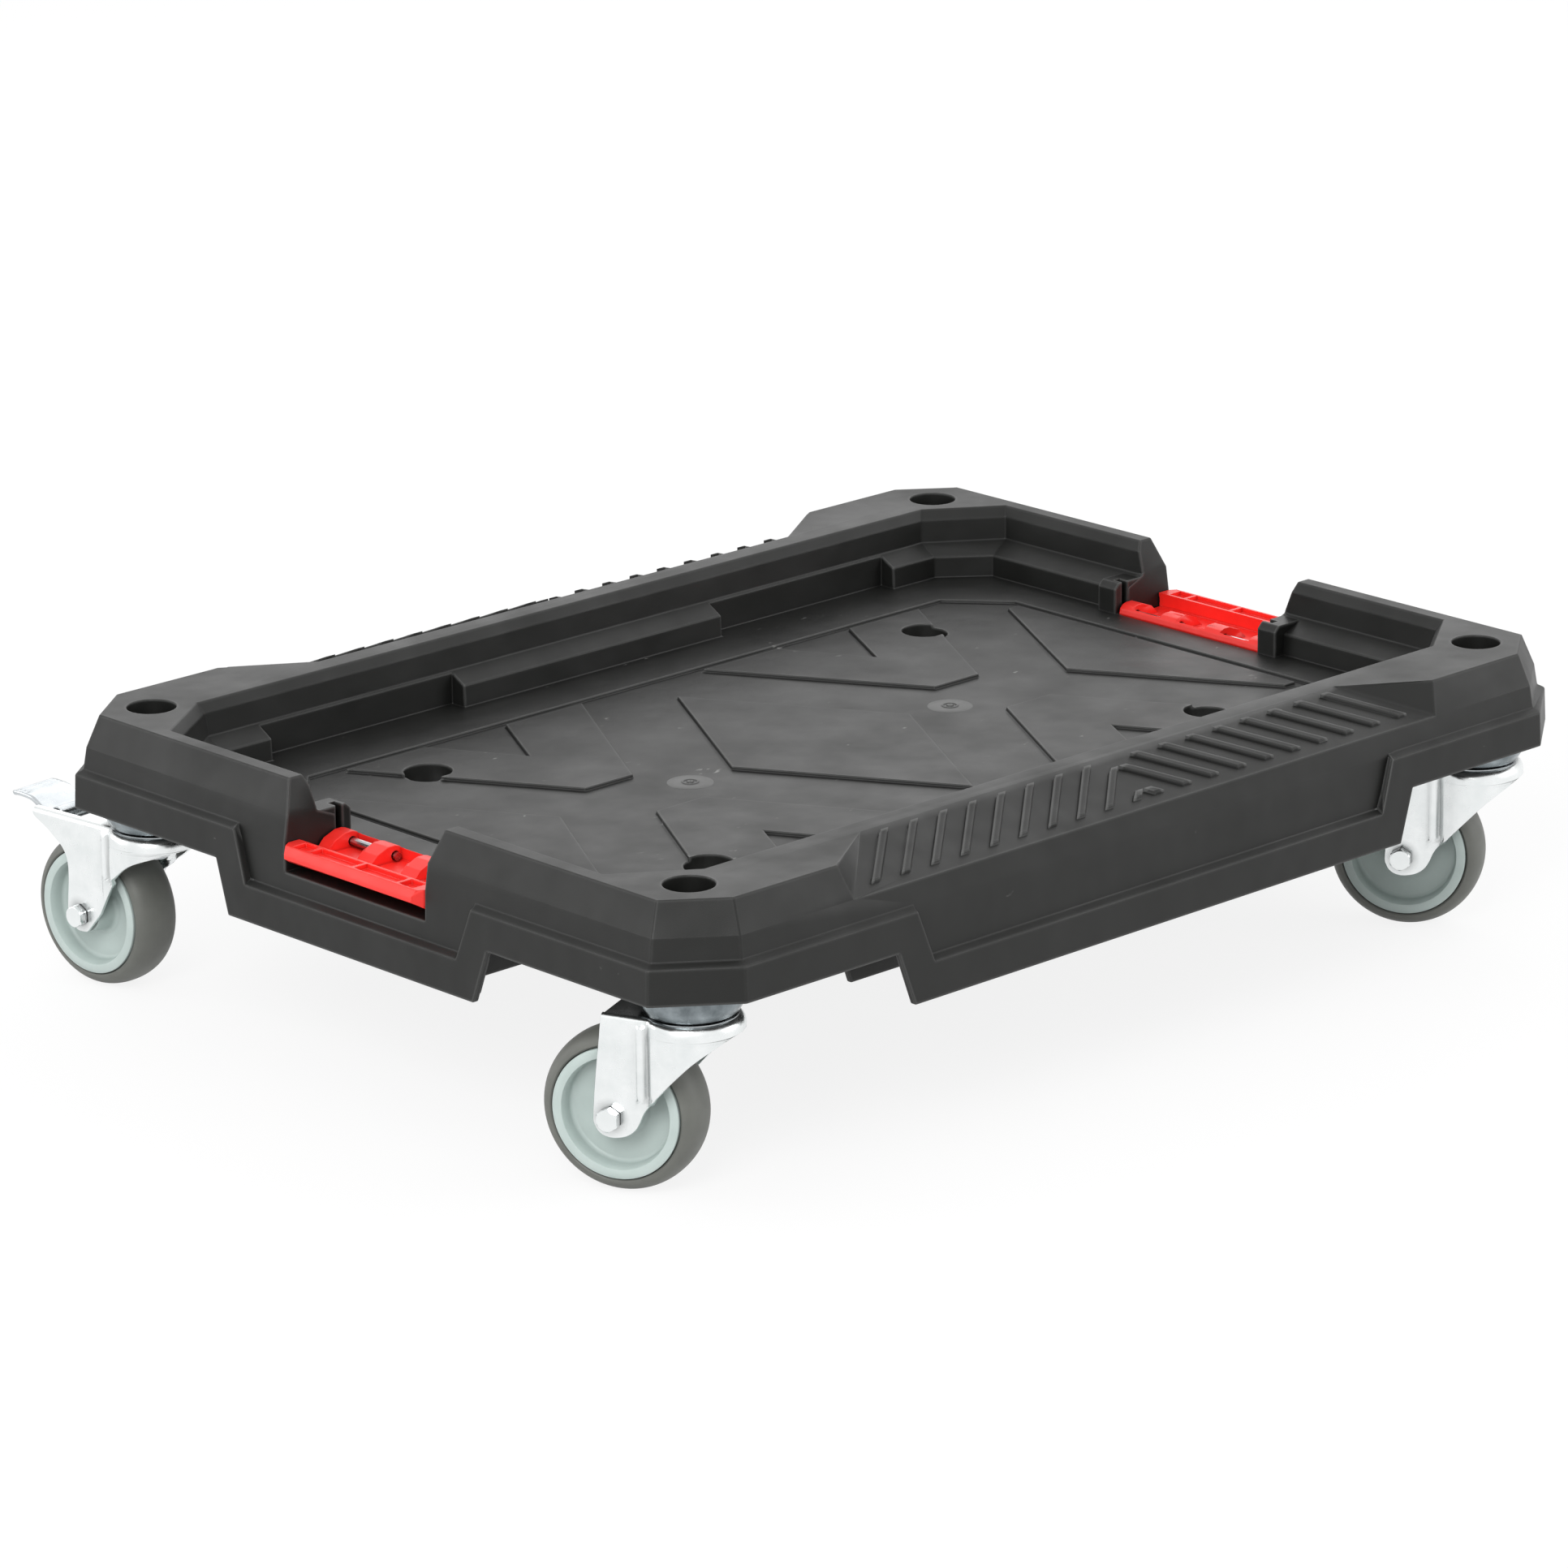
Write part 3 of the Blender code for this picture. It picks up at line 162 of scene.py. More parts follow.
def tray_material():
    """Charcoal plastic: cloudy, softly wavy, with painted highlights along its edges and painted shade in its
    hollows, and a few scuffs on the load floor.
    """
    mat, nodes, links, shader = nodes_of("tray_plastic")
    coord = object_coord(nodes)
    cloud = noise(nodes, links, coord, 14.0, 3.0)
    colour = ramp(nodes, links, cloud, [(0.30, TRAY_DARK), (0.70, TRAY_PALE)])
    # Painted highlight: convex edges lightened, where light would glint along them
    colour = mixed(nodes, links, edge_share(nodes, links, 0.0015, 2.0), colour, PAINTED_EDGE_HIGHLIGHT)
    # Painted shade: hollows and creases darkened, where shade falls
    colour = mixed(nodes, links, edge_share(nodes, links, 0.0045, 0.9, False), colour, PAINTED_HOLLOW_SHADE)
    scratch = noise(nodes, links, coord, 260.0, 2.0, 0.5, (0.5, 1.0, 1.0))
    streaks = spread(nodes, links, scratch, 0.0, 1.0, 0.66, 0.72)
    patches = spread(nodes, links, noise(nodes, links, coord, 34.0, 2.0), 0.0, 1.0, 0.60, 0.66)
    split = nodes.new("ShaderNodeSeparateXYZ")
    links.new(coord, split.inputs[0])
    not_above = spread(nodes, links, split.outputs["Z"], 0.6, 0.0, 0.0004, 0.0010)
    not_below = spread(nodes, links, split.outputs["Z"], 0.0, 1.0, -0.0030, -0.0024)
    near_floor = math_of(nodes, links, "MULTIPLY", not_above, not_below)
    marks = math_of(nodes, links, "MULTIPLY", streaks, patches)
    scuffs = math_of(nodes, links, "MULTIPLY", marks, near_floor)
    links.new(mixed(nodes, links, scuffs, colour, SCUFF_TONE), shader.inputs["Base Color"])
    patch = noise(nodes, links, coord, 22.0, 5.0)
    links.new(spread(nodes, links, patch, 0.38, 0.52), shader.inputs["Roughness"])
    shader.inputs["Specular IOR Level"].default_value = 0.34
    wave = nodes.new("ShaderNodeBump")
    wave.inputs["Strength"].default_value = 1.0
    wave.inputs["Distance"].default_value = 0.0017
    links.new(noise(nodes, links, coord, 22.0, 2.0), wave.inputs["Height"])
    grain = noise(nodes, links, coord, 2600.0, 2.0)
    fine = bump(nodes, links, shader, grain, 0.12, GRAIN_DEPTH)
    links.new(wave.outputs["Normal"], fine.inputs["Normal"])
    return mat


def plastic_material(name, low, high, rough_low, rough_high, hollow, scale=60.0):
    """Moulded plastic with a slight cloudiness, a fine grain and painted shade in its hollows, out to the reach
    hollow.
    """
    mat, nodes, links, shader = nodes_of(name)
    coord = object_coord(nodes)
    cloud = noise(nodes, links, coord, scale, 4.0)
    colour = ramp(nodes, links, cloud, [(0.30, low), (0.70, high)])
    # Painted shade: hollows darkened, where shade falls
    painted_shade_tone = tuple(0.35 * c for c in low)
    colour = mixed(nodes, links, edge_share(nodes, links, hollow, 0.9, False), colour, painted_shade_tone)
    links.new(colour, shader.inputs["Base Color"])
    patch = noise(nodes, links, coord, scale * 1.7, 4.0)
    links.new(spread(nodes, links, patch, rough_low, rough_high), shader.inputs["Roughness"])
    grain = noise(nodes, links, coord, 2200.0, 2.0)
    bump(nodes, links, shader, grain, 0.10, GRAIN_DEPTH)
    return mat


def zinc_material(name, low, high, rough_low, rough_high, speckle):
    """Bright zinc plate on pressed steel: cloudy, with a fine speckle and painted shade in its hollows."""
    mat, nodes, links, shader = nodes_of(name)
    shader.inputs["Metallic"].default_value = 1.0
    coord = object_coord(nodes)
    cloud = noise(nodes, links, coord, 90.0, 5.0)
    colour = ramp(nodes, links, cloud, [(0.30, low), (0.70, high)])
    # Painted shade: hollows darkened, where shade and contact shadows fall
    painted_shade_tone = tuple(0.16 * c for c in low)
    colour = mixed(nodes, links, edge_share(nodes, links, 0.0050, 1.15, False), colour, painted_shade_tone)
    links.new(colour, shader.inputs["Base Color"])
    patch = noise(nodes, links, coord, 160.0, 5.0)
    links.new(spread(nodes, links, patch, rough_low, rough_high), shader.inputs["Roughness"])
    grain = noise(nodes, links, coord, 1500.0, 3.0)
    bump(nodes, links, shader, grain, speckle, GRAIN_DEPTH)
    return mat


TRAY = tray_material()
RED = plastic_material("latch_plastic", (0.90, 0.022, 0.016), (0.97, 0.028, 0.020), 0.34, 0.44, 0.0015)
HUB = plastic_material("hub_plastic", (0.50, 0.585, 0.56), (0.56, 0.645, 0.62), 0.36, 0.48, 0.012)
TYRE = plastic_material("tyre_rubber", (0.128, 0.132, 0.119), (0.158, 0.163, 0.147), 0.46, 0.58, 0.006)
ZINC = zinc_material("zinc_steel", (0.42, 0.45, 0.47), (0.62, 0.65, 0.66), 0.12, 0.26, 0.30)
BOLT_ZINC = zinc_material("zinc_bolt", (0.80, 0.83, 0.83), (0.92, 0.94, 0.94), 0.16, 0.26, 0.06)
FORK_ZINC = zinc_material("zinc_plate", (0.80, 0.83, 0.83), (0.90, 0.92, 0.92), 0.20, 0.30, 0.06)
PEDAL_ZINC = zinc_material("zinc_pedal", (0.52, 0.55, 0.57), (0.66, 0.69, 0.71), 0.22, 0.32, 0.08)
# Painted shade: the cup's zinc is far darker than the other zinc, for the shade and dark reflections under the
# tray
SHADED_CUP_ZINC = zinc_material("zinc_cup_painted_shade", (0.12, 0.14, 0.15), (0.34, 0.38, 0.40), 0.12, 0.24, 0.20)
SLOT_LOOKS = {"tray_plastic": TRAY, "latch_plastic": RED, "hub_plastic": HUB, "tyre_rubber": TYRE,
              "zinc_steel": ZINC}


# Pieces

def make_piece(name, mesh, place, mat, body, node, bevel_normals=True):
    """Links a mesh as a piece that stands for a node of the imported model."""
    obj = bpy.data.objects.new(name, mesh)
    bpy.context.scene.collection.objects.link(obj)
    obj.matrix_world = place
    mesh.materials.clear()
    mesh.materials.append(mat)
    if bevel_normals:
        weighted = obj.modifiers.new("normals", "WEIGHTED_NORMAL")
        weighted.keep_sharp = True
    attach(obj, body)
    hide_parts(node)


def smooth(mesh, angle):
    """Smooth shading up to an angle. Edges already marked sharp stay so."""
    for face in mesh.polygons:
        face.use_smooth = True
    marked = [e.use_edge_sharp for e in mesh.edges]
    mesh.set_sharp_from_angle(angle=math.radians(angle))
    for edge, sharp in zip(mesh.edges, marked):
        if sharp:
            edge.use_edge_sharp = True


def welded(node):
    """A bmesh copy of a node with its triangles joined into flat faces."""
    bm = bmesh.new()
    bm.from_mesh(frame["nodes"][node].data)
    bmesh.ops.remove_doubles(bm, verts=bm.verts, dist=1e-6)
    for edge in bm.edges:
        edge.smooth = True
    bmesh.ops.dissolve_limit(bm, angle_limit=FLAT_ANGLE, verts=bm.verts, edges=bm.edges)
    return bm


def clear_width(edge, width):
    """How much room the two faces of an edge leave beside it."""
    start, end = edge.verts
    length = edge.calc_length()
    if length < 1e-7:
        return 0.0
    along = (end.co - start.co) / length
    least = 1.0
    for face in edge.link_faces:
        for vert in face.verts:
            if vert in (start, end):
                continue
            offset = vert.co - start.co
            reach = offset.dot(along)
            away = (offset - along * reach).length
            if reach < 0:
                beyond = -reach
            else:
                beyond = max(reach - length, 0.0)
            if beyond < 0.5 * width or away > beyond:
                least = min(least, away)
    return least


def split_ends(bm, angle, stub):
    """Splits long sharp edges near their ends, so that a corner can be treated by itself."""
    limit = math.radians(angle)
    long_edges = [e for e in bm.edges if len(e.link_faces) == 2 and e.calc_face_angle(0.0) > limit]
    for edge in long_edges:
        length = edge.calc_length()
        if length > 3 * stub:
            start, end = edge.verts
            rest = bmesh.utils.edge_split(edge, start, stub / length)[0]
            piece = edge if end in edge.verts else rest
            bmesh.utils.edge_split(piece, end, stub / piece.calc_length())


def bevelled(source, weights, width, segments):
    """A copy of a mesh with a bevel of its own weight on each edge."""
    mesh = source.copy()
    layer = mesh.attributes.new("bevel_weight_edge", "FLOAT", "EDGE")
    layer.data.foreach_set("value", weights)
    raw = bpy.data.objects.new("raw", mesh)
    bpy.context.scene.collection.objects.link(raw)
    cut = raw.modifiers.new("round", "BEVEL")
    cut.width = width
    cut.segments = segments
    cut.limit_method = "WEIGHT"
    cut.use_clamp_overlap = False
    graph = bpy.context.evaluated_depsgraph_get()
    done = bpy.data.meshes.new_from_object(raw.evaluated_get(graph))
    bpy.data.objects.remove(raw)
    bpy.data.meshes.remove(mesh)
    return done


def strays(mesh, tree, reach):
    """Places where a rounded mesh leaves the surface it came from, or folds over."""
    places = []
    for vert in mesh.vertices:
        near = tree.find_nearest(vert.co)
        if near[3] > reach:
            places.append(near[0])
    mesh.calc_loop_triangles()
    covered = np.zeros(len(mesh.polygons))
    for triangle in mesh.loop_triangles:
        covered[triangle.polygon_index] += triangle.area
        near = tree.find_nearest(sum((mesh.vertices[i].co for i in triangle.vertices), Vector()) / 3)
        if triangle.area > 1e-9 and (near[3] > reach or near[1].dot(triangle.normal) < -0.1):
            places.append(near[0])
    for face in mesh.polygons:
        if face.loop_total > 6 and covered[face.index] > 1.01 * face.area + 1e-9:
            places.extend(mesh.vertices[i].co for i in face.vertices)
    return places


def beside(starts, ends, places, reach):
    """Which edges lie within reach of any of the places."""
    along = ends - starts
    span = np.maximum((along ** 2).sum(1), 1e-18)
    hit = np.zeros(len(starts), bool)
    for place in places:
        share = np.clip(((place - starts) * along).sum(1) / span, 0.0, 1.0)
        hit |= ((starts + along * share[:, None] - place) ** 2).sum(1) < reach * reach
    return hit


FOLD_ANGLE = math.radians(3)
FOLD_ROOM = 0.0035
SHARP_ANGLE = 20
SHADE_ANGLE = 34
FLAT_ANGLE = math.radians(0.3)
TRAY_ROUND = 0.0007
POST_ROUND = 0.0006
LATCH_ROUND = 0.0004
BOLT_ROUND = 0.0005
PIN_ROUND = 0.0004
SOFT_ANGLE = 25
TRIES = 4
STUB_WIDTHS = 6
ROOM_WIDTHS = 2.4
STRAY_WIDTHS = 0.5


def rounded_mesh(bm, name, width, angle, segments=2):
    """A mesh with its sharp edges rounded, but not where there is no room or it would fold."""
    split_ends(bm, angle, STUB_WIDTHS * width)
    limit = math.radians(angle)
    weights = []
    for edge in bm.edges:
        turn = edge.calc_face_angle(0.0) if len(edge.link_faces) == 2 else 0.0
        room = clear_width(edge, width)
        weights.append(1.0 if turn > limit and room > ROOM_WIDTHS * width else 0.0)
        edge.smooth = not (FOLD_ANGLE < turn <= limit and room > FOLD_ROOM)
    weights = np.array(weights)
    tree = BVHTree.FromBMesh(bm)
    source = to_mesh(bm, name + "_raw")
    starts = np.array([source.vertices[e.vertices[0]].co for e in source.edges])
    ends = np.array([source.vertices[e.vertices[1]].co for e in source.edges])
    for attempt in range(TRIES):
        mesh = bevelled(source, weights, width, segments)
        places = strays(mesh, tree, STRAY_WIDTHS * width)
        if not places:
            break
        weights[beside(starts, ends, np.array(places), (1.0 + 0.5 * attempt) * width)] = 0.0
    bpy.data.meshes.remove(source)
    mesh.name = name
    return mesh


def to_mesh(bm, name):
    mesh = bpy.data.meshes.new(name)
    bm.to_mesh(mesh)
    bm.free()
    return mesh


def build_tray():
    mesh = rounded_mesh(welded("tray"), "tray_moulding", TRAY_ROUND, SHARP_ANGLE, 3)
    smooth(mesh, SHADE_ANGLE)
    make_piece("tray_moulding", mesh, Matrix.Identity(4), TRAY, "tray", "tray")


GATE_PROFILE = [(0.0003, -0.0006), (0.0116, -0.0006), (0.0114, 0.0000), (0.0106, 0.0003), (0.0060, 0.0002),
                (0.0044, 0.0002), (0.0041, 0.0006), (0.0035, 0.0006), (0.0031, 0.0001), (0.0019, 0.0001),
                (0.0016, 0.0007), (0.0003, 0.0008)]
GATE_X = 0.0885
GATE_SIDES = 48
RING_SHADE = 40
LOW_FLOOR = -0.0018


def build_gates():
    """The two round moulding marks in the low part of the floor."""
    for side, x in (("left", -GATE_X), ("right", GATE_X)):
        mesh = to_mesh(revolve(GATE_PROFILE, GATE_SIDES), "tray_gate_" + side)
        smooth(mesh, RING_SHADE)
        place = Matrix.Translation((x, 0.0, LOW_FLOOR))
        make_piece("tray_gate_" + side, mesh, place, TRAY, "tray", "tray", False)


POST_X = 0.2670
POST_SLOT = 0.0019
POST_IN = 0.0072
POST_OUT = -0.0120
POST_TOP = 0.0162
POST_LOW = -0.0006
POST_CHAMFER = 0.0030
POST_Y = (0.0502, 0.0562, 0.0625)


def build_posts():
    """The blocks with the pin slots at the ends of the latch gaps."""
    near, slot, far = POST_Y
    plan = [(POST_OUT, near), (-POST_SLOT, near), (-POST_SLOT, slot), (POST_SLOT, slot), (POST_SLOT, near),
            (POST_IN, near), (POST_IN, far), (POST_OUT, far)]
    for name, sx in (("left", -1), ("right", 1)):
        for end, sy in (("a", -1), ("b", 1)):
            bm = bmesh.new()
            flat = [(sx * (POST_X - u), sy * y) for u, y in plan]
            low = [bm.verts.new((x, y, POST_LOW)) for x, y in flat]
            high = [bm.verts.new((x, y, POST_TOP)) for x, y in flat]
            bm.faces.new(low)
            bm.faces.new(list(reversed(high)))
            for i in range(len(plan)):
                j = (i + 1) % len(plan)
                bm.faces.new((low[i], high[i], high[j], low[j]))
            bmesh.ops.recalc_face_normals(bm, faces=bm.faces)
            inner = [e for e in bm.edges if set(e.verts) == {high[5], high[6]}]
            bmesh.ops.bevel(bm, geom=inner, offset=POST_CHAMFER, segments=1, affect="EDGES")
            mesh = rounded_mesh(bm, "tray_post_" + name + "_" + end, POST_ROUND, SHARP_ANGLE, 3)
            smooth(mesh, SHADE_ANGLE)
            make_piece(mesh.name, mesh, Matrix.Identity(4), TRAY, "tray", "tray")


LATCH_AXIS_X = 0.2670
LATCH_HALF = 0.0493
LIP_OUT = 0.0320
LIP_SHIFT = 0.0038
LIP_RISE = 0.0026
LIP_CORNER_Y = 0.0468
LIP_POCKET = 0.0308
LIP_FRONT = 0.005
SAME_PLACE = 1e-5


def widen_lip(bm):
    """Widens the flat top of the latch lip, so that its front stands steeper and the pockets are deeper."""
    def reach(v):
        return abs(v.co.x) - LATCH_AXIS_X

    def at_lip(e):
        whole = e.calc_length() > 1.9 * LATCH_HALF
        return whole and all(abs(reach(v) - LIP_OUT) < SAME_PLACE for v in e.verts)

    edge = max((e for e in bm.edges if at_lip(e)), key=lambda e: e.verts[0].co.z)
    moved = [v for v in bm.verts if abs(reach(v) - LIP_POCKET) < SAME_PLACE]
    start, end = edge.verts
    share = (LATCH_HALF - LIP_CORNER_Y) / (2 * LATCH_HALF)
    rest, first = bmesh.utils.edge_split(edge, start, share)
    piece = edge if end in edge.verts else rest
    last = bmesh.utils.edge_split(piece, end, share / (1 - share))[1]
    for v in (first, last):
        front = max(v.link_faces, key=lambda f: max(reach(w) for w in f.verts))
        feet = [w for w in front.verts if reach(w) > LIP_OUT + LIP_FRONT and w.co.y * v.co.y > 0]
        bmesh.utils.face_split(front, v, max(feet, key=lambda w: w.co.z))
    for v in bm.verts:
        if reach(v) > LIP_OUT + LIP_FRONT:
            v.co.z += LIP_RISE
    for v in moved + [first, last]:
        v.co.x += math.copysign(LIP_SHIFT, v.co.x)
    lid = [f for f in bm.faces if all(abs(v.co.z - start.co.z) < SAME_PLACE for v in f.verts)]
    bmesh.ops.delete(bm, geom=lid, context="FACES")
    rim = [e for e in bm.edges if len(e.link_faces) == 1]
    bmesh.ops.triangle_fill(bm, edges=rim, use_beauty=True, normal=(0.0, 0.0, 1.0))
    bmesh.ops.recalc_face_normals(bm, faces=bm.faces)
    bmesh.ops.dissolve_limit(bm, angle_limit=FLAT_ANGLE, verts=bm.verts, edges=bm.edges)
    bm.normal_update()


def build_latches():
    for side in ("left", "right"):
        name = "latch_" + side
        bm = welded(name)
        widen_lip(bm)
        mesh = rounded_mesh(bm, name + "_flap", LATCH_ROUND, SHARP_ANGLE, 3)
        smooth(mesh, SHADE_ANGLE)
        make_piece(name + "_flap", mesh, Matrix.Identity(4), RED, name, name)


CUP_SIDES = 72
HUB_SIDES = 96
TYRE_SIDES = 112
KNUCKLE_SIDES = 32
WHEEL_SHADE = 35
SHEET_SHADE = 48
RACE_SHADE = 50


def joint_named(name):
    return [j for j in frame["joints"] if j["name"] == name][0]


def caster_frames(corner):
    """Swivel and wheel frames of a caster: X along the trail, Y along the axle, Z up."""
    swivel = joint_named("swivel_" + corner)
    roll = joint_named("roll_" + corner)
    across = Vector(roll["axis"]).normalized()
    up = Vector((0.0, 0.0, 1.0))
    along = across.cross(up)
    turn = Matrix((along, across, up)).transposed().to_4x4()
    seat = Matrix.Translation(swivel["pos_m"]) @ turn
    axle = Matrix.Translation(roll["pos_m"]) @ turn
    return seat, axle


def revolve(profile, sides, axis="Z"):
    """A ring: a closed profile of (radius, height) points turned about an axis."""
    bm = bmesh.new()
    rings = []
    for s in range(sides):
        angle = 2 * math.pi * s / sides
        c, d = math.cos(angle), math.sin(angle)
        if axis == "Z":
            rings.append([bm.verts.new((r * c, r * d, h)) for r, h in profile])
        else:
            rings.append([bm.verts.new((r * c, h, -r * d)) for r, h in profile])
    count = len(profile)
    for s in range(sides):
        here, there = rings[s], rings[(s + 1) % sides]
        for p in range(count):
            q = (p + 1) % count
            bm.faces.new((here[p], there[p], there[q], here[q]))
    bmesh.ops.recalc_face_normals(bm, faces=bm.faces)
    return bm


def arc(centre, radius, start, end, steps):
    """Points on an arc, in degrees."""
    points = []
    for k in range(steps + 1):
        angle = math.radians(start + (end - start) * k / steps)
        points.append((centre[0] + radius * math.cos(angle), centre[1] + radius * math.sin(angle)))
    return points


def smooth_line(points, steps):
    """A smooth curve through points, by cubic segments."""
    line = []
    last = len(points) - 1
    for i in range(last):
        p0 = Vector(points[max(i - 1, 0)])
        p1 = Vector(points[i])
        p2 = Vector(points[i + 1])
        p3 = Vector(points[min(i + 2, last)])
        for k in range(steps):
            t = k / steps
            a = 2 * p1 + (p2 - p0) * t + (2 * p0 - 5 * p1 + 4 * p2 - p3) * t * t
            line.append(0.5 * (a + (3 * p1 - p0 - 3 * p2 + p3) * t * t * t))
    line.append(Vector(points[last]))
    return line


def hub_profile():
    """Half section of the hub: ring, cone, dish, boss, out to the bore."""
    half = [(0.0313, 0.0050), (0.0313, 0.0130), (0.0311, 0.0134), (0.0307, 0.0136)]
    half += [(0.0272, 0.0136), (0.0268, 0.0135), (0.0266, 0.0132), (0.0258, 0.0098)]
    half += arc((0.0232, 0.0076), 0.0024, -5, -78, 6)
    half += [(0.0180, 0.0048), (0.0140, 0.0046)]
    half += arc((0.0128, 0.0070), 0.0024, -70, -165, 5)
    half += [(0.0098, 0.0120), (0.0096, 0.0148), (0.0092, 0.0154), (0.0053, 0.0155)]
    return half + [(r, -h) for r, h in reversed(half)]


TYRE_IN = 0.0316
TYRE_HALF = 0.0131
TYRE_STEPS = 14
TYRE_POWER = 2.0 / 2.25


def tyre_profile():
    """Section of the tyre: flush with the hub ring, round over the tread."""
    wall = WHEEL_R - TYRE_IN
    half = [(TYRE_IN, 0.0050), (TYRE_IN, 0.0122), (0.0319, 0.0127)]
    for k in range(1, TYRE_STEPS + 1):
        angle = math.pi / 2 * (1 - k / TYRE_STEPS)
        height = TYRE_HALF * math.sin(angle) ** TYRE_POWER if k < TYRE_STEPS else 0.0
        half.append((TYRE_IN + wall * math.cos(angle) ** TYRE_POWER, height))
    return half + [(r, -h) for r, h in reversed(half[:-1])]


CUP_PROFILE = [(0.0082, -0.0003), (0.0240, -0.0003), (0.0247, -0.0006), (0.0250, -0.0013), (0.0251, -0.0040),
               (0.0250, -0.0060), (0.0247, -0.0076), (0.0241, -0.0092), (0.0233, -0.0106), (0.0226, -0.0116),
               (0.0223, -0.0124), (0.0219, -0.0128), (0.0214, -0.0125), (0.0218, -0.0114), (0.0228, -0.0100),
               (0.0233, -0.0084), (0.0235, -0.0060), (0.0233, -0.0036), (0.0222, -0.0027), (0.0082, -0.0027)]
RIM_ROUND = 0.0004
RIM_STEPS = 4
WELD = 2e-6
COLLAR_PROFILE = [(0.0140, -0.0104), (0.0178, -0.0096), (0.0192, -0.0099), (0.0200, -0.0110),
                  (0.0204, -0.0122), (0.0211, -0.0132), (0.0222, -0.0138), (0.0222, -0.0150),
                  (0.0140, -0.0150)]


def shell(bm, inner):
    """Gives a sheet its thickness and a round rim: each vertex carries the place of its inner twin."""
    bmesh.ops.remove_doubles(bm, verts=bm.verts, dist=WELD)
    bmesh.ops.recalc_face_normals(bm, faces=bm.faces)
    bm.normal_update()
    outer_faces = list(bm.faces)
    rim = [e for e in bm.edges if len(e.link_faces) == 1]
    away = {}
    for edge in rim:
        face = edge.link_faces[0]
        a, b = edge.verts
        out = (b.co - a.co).normalized().cross(face.normal)
        if out.dot((a.co + b.co) / 2 - face.calc_center_median()) < 0:
            out = -out
        for v in (a, b):
            away[v] = away.get(v, Vector()) + out
    twins = {v: bm.verts.new(v[inner]) for v in list(bm.verts)}
    rings = {v: [v] for v in away}
    for v, out in away.items():
        for k in range(1, RIM_STEPS):
            angle = math.pi * k / RIM_STEPS
            place = v.co.lerp(twins[v].co, 0.5 - 0.5 * math.cos(angle))
            rings[v].append(bm.verts.new(place + out.normalized() * RIM_ROUND * math.sin(angle)))
        rings[v].append(twins[v])
    for face in outer_faces:
        bm.faces.new([twins[v] for v in reversed(face.verts)])
    for edge in rim:
        a, b = (rings[v] for v in edge.verts)
        for k in range(RIM_STEPS):
            bm.faces.new((a[k], b[k], b[k + 1], a[k + 1]))
    bmesh.ops.remove_doubles(bm, verts=bm.verts, dist=WELD)
    bmesh.ops.recalc_face_normals(bm, faces=bm.faces)


